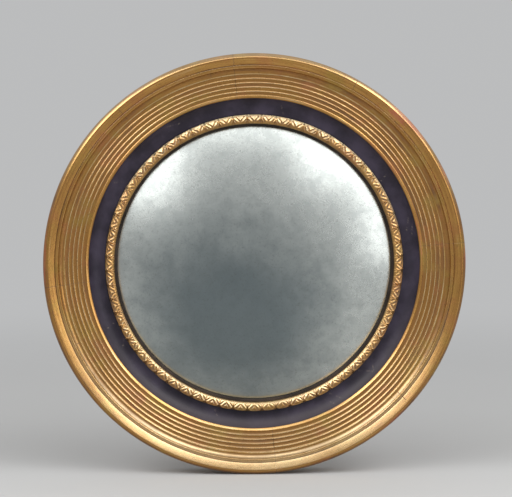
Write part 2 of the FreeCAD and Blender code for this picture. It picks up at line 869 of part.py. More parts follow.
os.makedirs("parts", exist_ok=True)
for piece in pieces:
    shape = piece.Shape
    if shape.isNull() or not shape.isValid() or shape.Volume <= 0:
        raise RuntimeError(f"{piece.Label} has no valid solid")
    box = shape.optimalBoundingBox()
    print(
        f"{piece.Label:24s} {len(shape.Solids):3d} solids {shape.Volume:10.0f} mm3 "
        f"{box.XLength:6.1f} x {box.YLength:5.1f} x {box.ZLength:6.1f}"
    )
    shape.exportStep(f"parts/{piece.Label}.step")
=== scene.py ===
"""The looks of a round convex mirror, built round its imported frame.

The file is laid out as an add-on and run as a script. Every turned piece is a half section, given
as (radius, depth), carried round an axis: the point at radius r, depth d and angle a is
(r cos a, -d, r sin a). Depth is counted from the wall towards the room, and angles run
anticlockwise from 3 o'clock, as seen from the room. Lengths are in metres.
"""

import math
from collections import namedtuple

import bmesh
import bpy
import numpy as np
from bpy.props import FloatProperty, FloatVectorProperty, IntProperty, PointerProperty
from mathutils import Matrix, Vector


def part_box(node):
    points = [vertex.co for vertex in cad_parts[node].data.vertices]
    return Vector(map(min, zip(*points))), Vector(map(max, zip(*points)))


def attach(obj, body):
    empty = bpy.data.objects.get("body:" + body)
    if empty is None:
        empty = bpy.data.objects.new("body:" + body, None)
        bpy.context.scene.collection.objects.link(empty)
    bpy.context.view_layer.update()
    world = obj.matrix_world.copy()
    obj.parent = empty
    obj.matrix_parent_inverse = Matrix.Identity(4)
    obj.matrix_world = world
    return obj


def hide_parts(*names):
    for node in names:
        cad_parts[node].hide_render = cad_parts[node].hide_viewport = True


bl_info = {
    "name": "Convex mirror",
    "version": (1, 0, 0),
    "blender": (4, 5, 0),
    "location": "3D View > Sidebar > Mirror",
    "description": "Builds the gilt, ebonised and silvered surfaces of a round convex mirror",
    "category": "Object",
}

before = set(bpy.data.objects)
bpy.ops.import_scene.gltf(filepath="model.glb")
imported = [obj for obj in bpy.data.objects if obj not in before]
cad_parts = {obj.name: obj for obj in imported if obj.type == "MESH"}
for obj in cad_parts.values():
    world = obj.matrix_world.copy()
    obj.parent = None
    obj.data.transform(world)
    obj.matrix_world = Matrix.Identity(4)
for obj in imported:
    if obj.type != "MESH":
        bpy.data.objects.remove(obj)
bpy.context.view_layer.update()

MM = 0.001
TURN = 2 * math.pi
QUARTER = TURN / 4
EIGHTH = math.sqrt(0.5)  # how far an eighth of a turn reaches, for a radius of one
SAME_POINT = 1e-7  # points closer than this are one point
QUARTERS = ("upper_right", "upper_left", "lower_left", "lower_right")
SEGMENTS = ("top", "left", "bottom", "right")
SIDES = ("right", "left")

Reach = namedtuple("Reach", "inner outer back front")
Round = namedtuple("Round", "centre radius back front")


def points_of(node):
    """The x, y and z of a CAD node's points, as three arrays."""
    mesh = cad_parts[node].data
    points = np.empty(len(mesh.vertices) * 3)
    mesh.vertices.foreach_get("co", points)
    return points.reshape(-1, 3).T


def reach(node):
    """Least and greatest radius about the mirror's axis, back and front depth of a CAD node."""
    x, y, z = points_of(node)
    radius = np.hypot(x, z)
    return Reach(*map(float, (radius.min(), radius.max(), (-y).min(), (-y).max())))


def round_reach(node):
    """Middle (as x and z), radius, back and front depth of a CAD node that looks round from the
    front."""
    low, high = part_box(node)
    centre = ((low.x + high.x) / 2, (low.z + high.z) / 2)
    return Round(centre, (high.x - low.x) / 2, -high.y, -low.y)


def turn_from(centre, angles):
    """How far angles are turned from a centre, at most half a turn either way."""
    return (angles - centre + math.pi) % TURN - math.pi


def first_angle(node):
    """The angle at which a quarter starts, from the CAD node's own points."""
    x, _, z = points_of(node)
    heading = math.atan2(z.mean(), x.mean())
    return heading + float(turn_from(heading, np.arctan2(z, x)).min())


# ------------------------------------------------------------------------------ sizes and colours


def length(name, default, description):
    """A property in metres."""
    return FloatProperty(
        name=name, description=description, default=default, min=0.0, unit="LENGTH", precision=5
    )


def angle(name, degrees, description):
    """A property in radians, written in degrees."""
    return FloatProperty(
        name=name, description=description, default=math.radians(degrees), unit="ROTATION"
    )


def colour(name, default, description):
    """A scene-linear colour."""
    return FloatVectorProperty(
        name=name, description=description, default=default, subtype="COLOR", size=3, min=0, max=1
    )


class MouldingSizes(bpy.types.PropertyGroup):
    """The gilt moulding's half section, from the thumb moulding inwards."""

    thumb_roll: length("Roll", 5.8 * MM, "From the crest out to the widest point")
    thumb_drop: length("Roll depth", 5.8 * MM, "From the crest back to the widest point")
    thumb_width: length("Thumb width", 10.3 * MM, "Thumb moulding up to its crest")
    thumb_rise: length("Thumb rise", 4.4 * MM, "From the fillet up to the crest")
    quirk_width: length("Quirk width", 1.2 * MM, "Narrow groove beside the thumb moulding")
    quirk_depth: length("Quirk depth", 1.1 * MM, "Depth of the narrow groove")
    fillet_width: length("Fillet", 3.9 * MM, "Narrow fillet")
    fillet_fall: length("Fillet fall", 0.8 * MM, "Fillet's inner edge behind its outer one")
    hollow_width: length("Hollow width", 9.1 * MM, "Outer hollow")
    hollow_rise: length("Hollow rise", 5.5 * MM, "From the last arris up to the fillet")
    hollow_sag: length("Hollow sag", 1.8 * MM, "Depth of the outer hollow below its chord")
    flutes: IntProperty(name="Flutes", description="Concave flutes", default=5, min=1)
    flute_pitch: length("Flute pitch", 6.2 * MM, "From arris to arris")
    flute_depth: length("Flute depth", 1.25 * MM, "Depth of a flute below its arrises")
    flute_power: FloatProperty(
        name="Flute flatness", description="2 for a round flute, more for a flat one", default=4.5
    )
    arris_rise: length("Arris rise", 1.1 * MM, "From one arris to the next")
    bevel_rise: length("Bevel rise", 2.1 * MM, "Inward bevel up to the first arris")
    side_recess: length("Side recess", 3.2 * MM, "Side inside the crest")
    side_foot: length("Side foot", 8.0 * MM, "Plain foot of the side")
    side_sag: length("Side sag", 1.6 * MM, "Depth of the side's hollow below its chord")
    gesso: length("Gesso", 0.32 * MM, "How far the gesso rounds every arris")


class OrnamentSizes(bpy.types.PropertyGroup):
    """The leaf ornament, the cove and the slip."""

    leaves: IntProperty(name="Leaves", description="Leaves on one strip", default=16, min=4)
    leaf_base: length("Leaf base", 1.2 * MM, "Ground under the leaves")
    leaf_rim: length("Leaf rim", 0.35 * MM, "Raised edge of a leaf")
    leaf_bowl: length("Leaf bowl", 0.5 * MM, "Hollow in the outer half of a leaf")
    leaf_vein: length("Leaf vein", 0.5 * MM, "Middle vein of a leaf")
    leaf_fold: length("Leaf fold", 0.60 * MM, "Slanting folds of a leaf")
    cove_sag: length("Cove sag", 3.6 * MM, "Depth of the cove below its chord")
    lip_thickness: length("Lip", 1.6 * MM, "Slip's lip at its sight edge")
    lip_step: length("Lip step", 0.5 * MM, "Small steps in the slip's lip")
    flange_drop: length("Flange drop", 3.0 * MM, "How far the leaves lap down over the slip")
    flange_width: length("Flange width", 0.9 * MM, "Thickness of that lap")


class GiltColours(bpy.types.PropertyGroup):
    """Leaf gold over red clay, toned and rubbed."""

    # Rubbed gold, and also the colour of the painted highlight on arrises, crests and faces that
    # turn up.
    pale: colour("Rubbed gold", (0.96, 0.78, 0.48), "Gold on the arrises and crests")
    gold: colour("Gold", (0.545, 0.290, 0.076), "Gold on the open faces")
    toned: colour("Toned gold", (0.31, 0.145, 0.036), "Gold under the toning in the hollows")
    dirt: colour("Toning", (0.105, 0.046, 0.017), "Old toning and dust in the corners")
    clay: colour("Red clay", (0.33, 0.065, 0.035), "Clay that shows where the gold is rubbed away")
    ruddy: colour("Ruddy gold", (0.42, 0.150, 0.062), "Patches where the clay warms the gold")
    olive: colour("Olive gold", (0.37, 0.245, 0.052), "Patches where the gold looks green")


class OtherColours(bpy.types.PropertyGroup):
    """Ebonised wood, plate, old pine and fittings."""

    ebony: colour("Ebonising", (0.0265, 0.0215, 0.0335), "Black polish of the cove")
    slip: colour("Slip", (0.026, 0.018, 0.013), "Black polish of the slip")
    polish_worn: colour("Worn polish", (0.055, 0.047, 0.052), "Streaks where cloths wore it")
    polish_speck: colour("Specks", (0.085, 0.072, 0.066), "Specks of dust on the polish")
    # Paler polish on the cove's upward faces: a painted sheen with some dusting.
    polish_dust_and_sheen: colour("Dust", (0.080, 0.068, 0.072), "Dust that lies in the cove")
    scratch: colour("Scratch", (0.19, 0.155, 0.135), "Scratches in the cove")
    # Plate tones: partly tarnish, partly a painted reflection, dark in the middle and bright at the
    # edge.
    plate_middle: colour("Plate middle", (0.170, 0.203, 0.211), "Silvering in the middle")
    plate_edge: colour("Plate edge", (0.58, 0.61, 0.585), "Silvering towards the edge")
    plate_speck: colour("Plate speck", (0.10, 0.10, 0.09), "Spots in the silvering")
    paint: colour("Backing paint", (0.11, 0.095, 0.09), "Paint behind the silvering")
    paint_dark: colour("Backing strokes", (0.045, 0.04, 0.04), "Dark strokes in that paint")
    pine_light: colour("Pine", (0.345, 0.210, 0.108), "Old pine, early wood")
    pine_dark: colour("Pine rings", (0.240, 0.130, 0.060), "Old pine, late wood")
    brass: colour("Brass", (0.52, 0.34, 0.115), "Tarnished brass")
    brass_stain: colour("Brass stain", (0.15, 0.085, 0.032), "Stained patches of the brass")
    steel: colour("Steel", (0.28, 0.26, 0.24), "Dull steel")
    steel_stain: colour("Steel stain", (0.10, 0.05, 0.025), "Rusty patches of the steel")
    cork: colour("Cork", (0.37, 0.21, 0.105), "Cork")


class StageSettings(bpy.types.PropertyGroup):
    """Floor, light and camera."""

    floor: colour("Floor", (0.50, 0.50, 0.495), "Pale floor")
    sky: colour("World", (0.50, 0.505, 0.51), "Even light all round")
    distance: length("Distance", 4.2, "Camera from the mirror")
    lens: FloatProperty(name="Lens", description="Focal length in millimetres", default=201.5)
    elevation: angle("Elevation", 5.6, "Camera above the mirror's axis")
    azimuth: angle("Azimuth", -2.0, "Camera to the left of the mirror's axis")
    aim_across: FloatProperty(
        name="Aim across", description="Aim right of the frame", default=0.0016, unit="LENGTH"
    )
    aim_up: FloatProperty(
        name="Aim up", description="Aim above the frame's middle", default=0.0237, unit="LENGTH"
    )


class MirrorSettings(bpy.types.PropertyGroup):
    """All that a user would change."""

    moulding: PointerProperty(type=MouldingSizes)
    ornament: PointerProperty(type=OrnamentSizes)
    gilt: PointerProperty(type=GiltColours)
    other: PointerProperty(type=OtherColours)
    stage: PointerProperty(type=StageSettings)


def settings():
    return bpy.context.scene.convex_mirror


# -------------------------------------------------------------------------------- half sections


def arc(start, via, finish, steps=24):
    """Points of the circle through three points, from the first to the last, at equal angles."""
    (ax, ay), (bx, by), (cx, cy) = start, via, finish
    twice = 2 * (ax * (by - cy) + bx * (cy - ay) + cx * (ay - by))
    squares = [p[0] ** 2 + p[1] ** 2 for p in (start, via, finish)]
    x = (squares[0] * (by - cy) + squares[1] * (cy - ay) + squares[2] * (ay - by)) / twice
    y = (squares[0] * (cx - bx) + squares[1] * (ax - cx) + squares[2] * (bx - ax)) / twice
    first, second, last = (math.atan2(p[1] - y, p[0] - x) for p in (start, via, finish))
    sweep = (last - first) % TURN
    if (second - first) % TURN > sweep:
        sweep -= TURN
    angles = first + sweep * np.linspace(0, 1, steps)
    radius = math.hypot(ax - x, ay - y)
    return np.stack([x + radius * np.cos(angles), y + radius * np.sin(angles)], 1)


def hollow(start, finish, sag, steps=24):
    """An arc whose middle lies left of its chord, by the sag, when going from start to finish."""
    across, along = finish[0] - start[0], finish[1] - start[1]
    chord = math.hypot(across, along)
    x, y = (start[0] + finish[0]) / 2, (start[1] + finish[1]) / 2
    return arc(start, (x - along * sag / chord, y + across * sag / chord), finish, steps)


def joined(*runs):
    """One polyline out of runs of points, each repeated point kept once."""
    points = np.concatenate([np.asarray(run, float).reshape(-1, 2) for run in runs])
    step = np.linalg.norm(np.diff(points, axis=0), axis=1)
    return points[np.concatenate([[True], step > SAME_POINT])]


def distance_along(points):
    return np.concatenate([[0.0], np.cumsum(np.linalg.norm(np.diff(points, axis=0), axis=1))])


def at_places(points, places):
    """Points at given distances along a polyline."""
    along = distance_along(points)
    return np.stack([np.interp(places, along, points[:, k]) for k in (0, 1)], 1)


def blurred(values, spread):
    """Each value becomes the bell-weighted mean of its neighbours round a closed loop."""
    reach_of_bell = max(1, int(3 * spread))
    offsets = np.arange(-reach_of_bell, reach_of_bell + 1)
    bell = np.exp(-0.5 * (offsets / spread) ** 2)
    bell /= bell.sum()
    wrapped = np.concatenate([values[-reach_of_bell:], values, values[:reach_of_bell]])
    return np.stack([np.convolve(wrapped[:, k], bell, "valid") for k in (0, 1)], 1)


class Section:
    """A closed half section whose corners are rounded by a bell-weighted mean of its own line.

    points are its (radius, depth) corners after rounding, close together where the line turns and
    wide apart where it is straight; outward is the unit vector square to the line, out of the
    solid; raised is how far each point stands out of the same line smoothed much more strongly;
    along is its distance along the line.
    """

    FINE = 0.08 * MM  # spacing of the line while it is worked on
    WIDEST = 2.2 * MM  # spacing of the points on a straight run
    SHARPEST = math.radians(9)  # turn from one point to the next
    SMOOTHER = 2.6 * MM  # spread of the bell behind raised

    def __init__(self, points, rounding):
        loop = np.concatenate([points, points[:1]])
        total = distance_along(loop)[-1]
        count = int(total / self.FINE)
        places = np.linspace(0, total, count, endpoint=False)
        fine = blurred(at_places(loop, places), max(rounding / self.FINE, 0.5))
        ahead = np.roll(fine, -1, 0) - fine
        heading = np.unwrap(np.arctan2(ahead[:, 1], ahead[:, 0]))
        closing = heading[:1] + round((heading[-1] - heading[0]) / TURN) * TURN
        turning = np.abs(np.diff(heading, append=closing))
        cost = np.cumsum(turning / self.SHARPEST + np.linalg.norm(ahead, axis=1) / self.WIDEST)
        wanted = np.linspace(cost[0], cost[-1], int(cost[-1]), endpoint=False)
        chosen = np.unique(np.round(np.interp(wanted, cost, np.arange(count))).astype(int))
        tangent = np.roll(fine, -2, 0) - np.roll(fine, 2, 0)
        tangent /= np.linalg.norm(tangent, axis=1, keepdims=True)
        outward = np.stack([tangent[:, 1], -tangent[:, 0]], 1)
        self.points = fine[chosen]
        self.outward = outward[chosen]
        self.raised = ((fine - blurred(fine, self.SMOOTHER / self.FINE)) * outward).sum(1)[chosen]
        self.along = (np.arange(count) * total / count)[chosen]


# ------------------------------------------------------------------------------ surfaces to mesh

# Where columns stand close together: this far from a joint or a crack, at a radius of 0.27 m.
CLOSE = np.array([-1.4, -0.8, -0.4, -0.15, 0.0, 0.15, 0.4, 0.8, 1.4]) * MM
CLOSE_RADIUS = 0.27
POLE = 1e-6  # points at a disc's pole, this close together, are welded
FACES_UP = (0.06, 0.62)  # upward part of a normal: where the painted highlight and dusting start, and where they are full


def columns(start, sweep, spacing, fine_at=()):
    """Angles over a sweep at an even spacing, with a few more of them close to given angles."""
    even = np.linspace(start, start + sweep, max(2, int(round(sweep / spacing)) + 1))
    extra = (np.asarray(fine_at, float).reshape(-1, 1) + CLOSE / CLOSE_RADIUS).ravel()
    extra = extra[(extra > start) & (extra < start + sweep)]
    return np.unique(np.round(np.concatenate([even, extra]), 7))


def grid_mesh(name, points, round_closed, section_closed, marks=None, crease=35.0):
    """A mesh from a grid of points: the first index runs round the axis and the second along the
    section. Open turns get a flat end at each side, poles are welded, and marks are attributes."""
    rows, count = points.shape[:2]
    index = np.arange(rows * count).reshape(rows, count)
    if round_closed:
        index = np.vstack([index, index[:1]])
    if section_closed:
        index = np.hstack([index, index[:, :1]])
    quads = np.stack([index[:-1, :-1], index[1:, :-1], index[1:, 1:], index[:-1, 1:]], -1)
    faces = quads.reshape(-1, 4).tolist()
    if section_closed and not round_closed:
        faces += [index[0, :count].tolist(), index[-1, :count][::-1].tolist()]
    mesh = bpy.data.meshes.new(name)
    mesh.from_pydata(points.reshape(-1, 3), [], faces)
    for mark, values in (marks or {}).items():
        attribute = mesh.attributes.new(mark, "FLOAT", "POINT")
        full = np.broadcast_to(values, (rows, count)).astype(np.float32)
        attribute.data.foreach_set("value", full.ravel())
    if not section_closed:
        work = bmesh.new()
        work.from_mesh(mesh)
        bmesh.ops.remove_doubles(work, verts=work.verts, dist=POLE)
        work.to_mesh(mesh)
        work.free()
    mesh.shade_smooth()
    mesh.set_sharp_from_angle(angle=math.radians(crease))
    mesh.validate()
    return mesh


def place_round(radii, depths, angles, centre=(0.0, 0.0)):
    """Points (x + r cos a, -d, z + r sin a) about an axis through the centre's x and z."""
    x, z = centre[0] + radii * np.cos(angles), centre[1] + radii * np.sin(angles)
    return np.stack(np.broadcast_arrays(x, -depths, z), -1)


def turned(name, section, angles=None, lift=0.0, marks=None, steps=360):
    """A closed section carried round the mirror's axis, over the given angles or all the way;
    lift moves each point square to the section."""
    whole = angles is None
    if whole:
        angles = TURN * np.arange(steps) / steps
    lift = np.broadcast_to(lift, (len(angles), len(section.points)))
    radii = section.points[:, 0] + section.outward[:, 0] * lift
    depths = section.points[:, 1] + section.outward[:, 1] * lift
    return grid_mesh(name, place_round(radii, depths, angles[:, None]), whole, True, marks)


def disc(name, section, centre, steps):
    """An open section that starts and ends on its own axis, carried all round it."""
    angles = TURN * np.arange(steps) / steps
    points = place_round(section[:, 0], section[:, 1], angles[:, None], centre)
    return grid_mesh(name, points, True, False)


def waves(angles, along, seed, amplitude, turns=9, pitch=30 * MM):
    """A soft unevenness: a sum of cosines of whole turns and of the distance along the section,
    each weaker by its number. The usual height of that sum is taken out."""
    rng = np.random.default_rng(seed)
    total = np.zeros((len(angles), len(along)))
    for number in range(1, turns + 1):
        phase, lean = rng.uniform(0, TURN), rng.uniform(-1, 1) * TURN / pitch
        total += np.cos(number * 2 * angles[:, None] + lean * along + phase) / number
    usual = 1.6
    return amplitude * total / usual


def upward(outward, angles):
    """How far each point of a turned section faces up: nothing for level, one for a ledge. outward
    is the part of its unit normal that points away from the axis."""
    return smooth_step(*FACES_UP, outward * np.sin(angles)[:, None])


def bell(values, centre, width):
    return np.exp(-(((values - centre) / width) ** 2))


def smooth_step(low, high, values):
    """Nothing below low and one above high, with a smooth rise between them."""
    share_of_way = np.clip((values - low) / (high - low), 0, 1)
    return share_of_way**2 * (3 - 2 * share_of_way)


def add_piece(mesh, finish, body, slot, *nodes):
    """A piece of the mirror in one finish, which rides a body and stands for CAD nodes."""
    piece = bpy.data.objects.new(mesh.name, mesh)
    bpy.context.scene.collection.objects.link(piece)
    mesh.materials.append(finish)
    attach(piece, body)
    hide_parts(*nodes)
    return piece


def dress(node, finish):
    """A CAD node whose shape is right gets a better material."""
    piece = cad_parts[node]
    for material_slot in piece.material_slots:
        material_slot.material = finish


# -------------------------------------------------------------------------------------- finishes


class Finish:
    """A material under construction. Each method adds nodes and returns an output socket."""

    def __init__(self, name):
        self.material = bpy.data.materials.new(name)
        self.material.use_nodes = True
        self.tree = self.material.node_tree
        self.tree.nodes.clear()
        self.shader = self.add("BsdfPrincipled")
        self.output = self.add("OutputMaterial", {0: self.shader.outputs[0]})

    def add(self, kind, values=None, **options):
        node = self.tree.nodes.new(f"ShaderNode{kind}")
        for option, value in options.items():
            setattr(node, option, value)
        for socket, value in (values or {}).items():
            self.put(node.inputs[socket], value)
        return node

    def put(self, socket, value):
        if isinstance(value, bpy.types.NodeSocket):
            self.tree.links.new(value, socket)
        elif hasattr(socket.default_value, "__len__") and len(socket.default_value) == 4:
            socket.default_value = (*value[:3], 1.0)
        else:
            socket.default_value = value

    def set(self, **values):
        """Sets or links the shader's own sockets; names have underscores for spaces."""
        for socket, value in values.items():
            self.put(self.shader.inputs[socket.replace("_", " ")], value)

    def place(self):
        """Object coordinates."""
        return self.add("TexCoord").outputs["Object"]

    def mark(self, name):
        """A float attribute of the mesh."""
        return self.add("Attribute", attribute_name=name).outputs["Fac"]

    def calc(self, operation, *values):
        return self.add("Math", dict(enumerate(values)), operation=operation).outputs[0]

    def plus(self, first, second):
        return self.calc("ADD", first, second)

    def times(self, first, second):
        return self.calc("MULTIPLY", first, second)

    def most(self, first, second):
        return self.calc("MAXIMUM", first, second)

    def line(self, value, factor, shift):
        """The value times a factor, plus a shift."""
        return self.calc("MULTIPLY_ADD", value, factor, shift)

    def swing(self, noise, amount):
        """Noise brought about nothing, from minus to plus half the amount."""
        return self.line(noise, amount, -amount / 2)

    def vector(self, operation, *values):
        node = self.add("VectorMath", dict(enumerate(values)), operation=operation)
        return node.outputs["Value" if operation == "LENGTH" else "Vector"]

    def stretched(self, scale=(1, 1, 1), rotation=(0, 0, 0), location=(0, 0, 0)):
        """Object coordinates through a Mapping node."""
        values = {"Scale": scale, "Rotation": rotation, "Location": location}
        return self.add("Mapping", {"Vector": self.place(), **values}).outputs[0]

    def radius(self, x=0.0, z=0.0):
        """Distance from an axis square to the wall, at x and z."""
        return self.vector("LENGTH", self.stretched((1, 0, 1), location=(-x, 0, -z)))

    def round_axis(self, around, across):
        """Coordinates that run round the axis without a seam: the unit vector away from the axis
        times a factor, with the radius times another, and the depth times that as a fourth."""
        flat = self.vector("MULTIPLY", self.place(), (1, 0, 1))
        away = self.add("SeparateXYZ", {0: self.vector("NORMALIZE", flat)}).outputs
        depth = self.add("SeparateXYZ", {0: self.place()}).outputs[1]
        radius = self.times(self.vector("LENGTH", flat), across)
        values = {0: self.times(away[0], around), 1: radius, 2: self.times(away[2], around)}
        return self.add("CombineXYZ", values).outputs[0], self.times(depth, across)

    def noise(self, vector, scale=1.0, detail=3.0, roughness=0.55, distortion=0.0, fourth=None):
        """Soft noise; a fourth coordinate makes it noise in four dimensions."""
        values = {"Vector": vector, "Scale": scale, "Detail": detail, "Roughness": roughness}
        values["Distortion"] = distortion
        if fourth is None:
            return self.add("TexNoise", values).outputs[0]
        return self.add("TexNoise", {**values, "W": fourth}, noise_dimensions="4D").outputs[0]

    def streaks(self, around, across, detail=3.0, roughness=0.6):
        """Noise drawn out round the mirror's axis."""
        vector, fourth = self.round_axis(around, across)
        return self.noise(vector, detail=detail, roughness=roughness, fourth=fourth)

    def level(self, value, low, high, start=0.0, finish=1.0):
        """A smooth rise from start to finish while the value goes from low to high."""
        names = ("Value", "From Min", "From Max", "To Min", "To Max")
        values = dict(zip(names, (value, low, high, start, finish)))
        return self.add("MapRange", values, interpolation_type="SMOOTHSTEP").outputs[0]

    def ramp(self, value, *stops):
        """Colours at places between 0 and 1."""
        node = self.add("ValToRGB", {0: value})
        elements = node.color_ramp.elements
        while len(elements) < len(stops):
            elements.new(1.0)
        for element, (place, shade) in zip(elements, stops):
            element.position = place
            element.color = (*tuple(shade)[:3], 1.0)
        return node.outputs[0]

    def blend(self, factor, first, second):
        return self.add("Mix", {0: factor, 6: first, 7: second}, data_type="RGBA").outputs[2]

    def patched(self, tone, shade, value, low, high, strength):
        """The tone with another shade over it, more so as the value goes from low to high."""
        return self.blend(self.level(value, low, high, 0.0, strength), tone, shade)

    def bump(self, height, distance, strength=1.0, normal=None):
        values = {"Height": height, "Distance": distance, "Strength": strength}
        if normal is not None:
            values["Normal"] = normal
        return self.add("Bump", values).outputs[0]


def tinted(shade, factor):
    return tuple(min(1.0, part * factor) for part in tuple(shade)[:3])


def gilding(name, rubbed, dulled, streaky, cream=0.0, roughness=0.195):
    """Leaf gold over red clay. The mark "raised", moved by streaks that run round the frame as the
    brush and the burnisher did, picks a tone from toning to rubbed gold: partly real toning and
    rubbing, partly painted light, with a painted highlight on arrises and crests and painted shade
    in the flutes and the quirk. Grime, specks, bare clay, ruddy and olive patches, a pale gold
    painted highlight with some dusting on faces that turn up, and cracks come over it in that
    order."""
    tones = settings().gilt
    finish = Finish(name)
    place = finish.place()
    long_streak = finish.streaks(5.0, 900.0, 3.0)
    fine_streak = finish.streaks(26.0, 2600.0, 2.0)
    broad_streak = finish.streaks(3.2, 230.0, 2.0)
    clouds = finish.noise(place, 14.0, 4.0, 0.6)
    wander = finish.plus(finish.swing(long_streak, streaky), finish.swing(clouds, 0.5))
    wander = finish.plus(wander, finish.swing(broad_streak, 0.5))
    level = finish.plus(finish.mark("raised"), wander)
    # Low stops: toning, with painted shade in the flutes and the quirk; pale stop: rubbed gold,
    # with a painted highlight on arrises and crests.
    stops = ((0.0, tones.dirt), (0.22, tones.toned), (0.52, tones.gold), (rubbed, tones.pale))
    tone = finish.patched(finish.ramp(level, *stops), tones.toned, clouds, 0.46, 0.74, dulled)
    specks = finish.noise(place, 420.0, 2.0, 0.5)
    tone = finish.patched(tone, tones.dirt, specks, 0.64, 0.72, 0.55)
    worn = finish.plus(finish.mark("clay"), finish.swing(long_streak, 1.3))
    worn = finish.level(finish.plus(worn, finish.swing(fine_streak, 0.7)), 0.36, 0.55)
    tone = finish.blend(finish.times(worn, 0.85), tone, tones.clay)
    warm = finish.noise(place, 24.0, 4.0, 0.65)
    tone = finish.patched(tone, tones.ruddy, warm, 0.50, 0.72, 0.44)
    green = finish.noise(finish.stretched(location=(3.1, 1.7, 5.3)), 21.0, 4.0, 0.65)
    tone = finish.patched(tone, tones.olive, green, 0.50, 0.70, 0.52)
    # Painted highlight: faces that turn up, where light from above falls, go towards pale gold; the
    # mark also stands for some dusting. cream adds an even share of the same pale gold.
    dust = finish.times(finish.mark("dust"), finish.level(clouds, 0.25, 0.60, 0.45, 0.85))
    tone = finish.blend(finish.plus(dust, cream), tone, tones.pale)
    crack = finish.mark("crack")
    tone = finish.blend(crack, tone, tinted(tones.dirt, 0.5))
    # Duller and less metallic where the level is low: toning, and painted shade as well.
    soiled_and_shaded = finish.level(level, 0.0, 0.34, 0.55, 0.0)
    dull = finish.most(finish.most(soiled_and_shaded, crack), finish.times(worn, 0.7))
    gloss = finish.line(dull, 0.32, finish.line(fine_streak, 0.16, roughness))
    uneven = finish.bump(finish.noise(place, 60.0, 3.0, 0.5), 0.5 * MM, 0.35)
    brushed = finish.bump(fine_streak, 0.10 * MM, 0.5, uneven)
    finish.set(Base_Color=tone, Metallic=finish.calc("SUBTRACT", 1.0, dull), Roughness=gloss)
    finish.set(Normal=brushed, Coat_Weight=0.27, Coat_Roughness=0.24)
    return finish.material


def black_polish(name, shade, in_cove):
    """Ebonised wood: black polish with a satin sheen, rubbed round the frame and flecked with dusty
    specks.
    In the cove, a painted sheen with some dusting lies on its lower half, more towards its outer
    edge, and scratches show."""
    tones = settings().other
    finish = Finish(name)
    place = finish.place()
    rubbing = finish.streaks(18.0, 1500.0, 3.0)
    clouds = finish.noise(place, 22.0, 4.0, 0.6)
    specks = finish.noise(place, 700.0, 2.0, 0.6)
    tone = finish.blend(finish.level(clouds, 0.35, 0.7), tinted(shade, 0.75), tinted(shade, 1.7))
    tone = finish.patched(tone, tones.polish_worn, rubbing, 0.60, 0.74, 0.30)
    tone = finish.patched(tone, tones.polish_speck, specks, 0.66, 0.74, 0.5)
    if in_cove:
        # Painted sheen, with some dusting, on the faces that turn up in the lower half.
        tone = finish.blend(finish.times(finish.mark("dust"), 0.55), tone, tones.polish_dust_and_sheen)
        tone = finish.blend(finish.times(finish.mark("scratch"), 0.9), tone, tones.scratch)
    gloss = finish.line(rubbing, 0.12, finish.line(clouds, 0.22, 0.27))
    normal = finish.bump(rubbing, 0.06 * MM, 0.5)
    normal = finish.bump(finish.noise(place, 90.0, 2.0, 0.5), 0.25 * MM, 0.25, normal)
    finish.set(Base_Color=tone, Roughness=gloss, Normal=normal)
    finish.set(Coat_Weight=0.05, Coat_Roughness=0.25, Specular_IOR_Level=0.17)
    return finish.material


def antique_plate(name, radius):
    """Silvered convex plate, under bright glass: dim and mottled in the middle and bright towards
    the edge, partly tarnish and partly a painted reflection. The tone follows the distance from a
    point below the middle, broken up by clouds and specks, and one small patch above the middle is
    painted brighter."""
    tones = settings().other
    finish = Finish(name)
    place = finish.place()
    clouds = finish.noise(place, 9.0, 5.0, 0.58, 0.3)
    mottle = finish.noise(place, 60.0, 4.0, 0.62, 0.2)
    specks = finish.noise(place, 360.0, 2.0, 0.6)
    haze = finish.noise(place, 24.0, 3.0, 0.55, 0.4)
    # Painted reflection, partly tarnish: dark round a point below the middle, bright towards the
    # edge.
    spread = finish.calc("DIVIDE", finish.radius(-30 * MM, -75 * MM), radius)
    edge = finish.level(finish.plus(spread, finish.swing(clouds, 0.42)), 0.24, 1.03)
    tone = finish.blend(edge, tones.plate_middle, tones.plate_edge)
    # A small patch above the middle painted brighter.
    bright = finish.level(finish.radius(-17 * MM, 36 * MM), 8 * MM, 50 * MM, 0.14, 0.0)
    tone = finish.blend(bright, tone, tones.plate_edge)
    inside = finish.level(edge, 0.45, 1.0, 1.0, 0.3)
    haze = finish.times(finish.level(haze, 0.36, 0.64, 0.0, 0.26), inside)
    tone = finish.blend(haze, tone, tinted(tones.plate_middle, 0.9))
    tone = finish.patched(tone, tinted(tones.plate_middle, 0.70), mottle, 0.38, 0.70, 0.24)
    tone = finish.patched(tone, tones.plate_speck, specks, 0.52, 0.78, 0.30)
    gloss = finish.line(mottle, 0.10, finish.line(edge, -0.07, 0.29))
    finish.set(Base_Color=tone, Roughness=gloss, Normal=finish.bump(clouds, 0.4 * MM, 0.06))
    finish.set(Metallic=1.0, Coat_Weight=0.30, Coat_Roughness=0.16, Coat_IOR=1.5)
    return finish.material


def backing_paint(name):
    """Dark paint brushed over the back of the silvering."""
    tones = settings().other
    finish = Finish(name)
    strokes = finish.noise(finish.stretched((14, 60, 160)), 1.0, 4.0, 0.6)
    tone = finish.ramp(strokes, (0.3, tones.paint_dark), (0.7, tones.paint))
    gloss = finish.line(strokes, 0.25, 0.5)
    finish.set(Base_Color=tone, Roughness=gloss, Normal=finish.bump(strokes, 0.1 * MM, 0.6))
    return finish.material


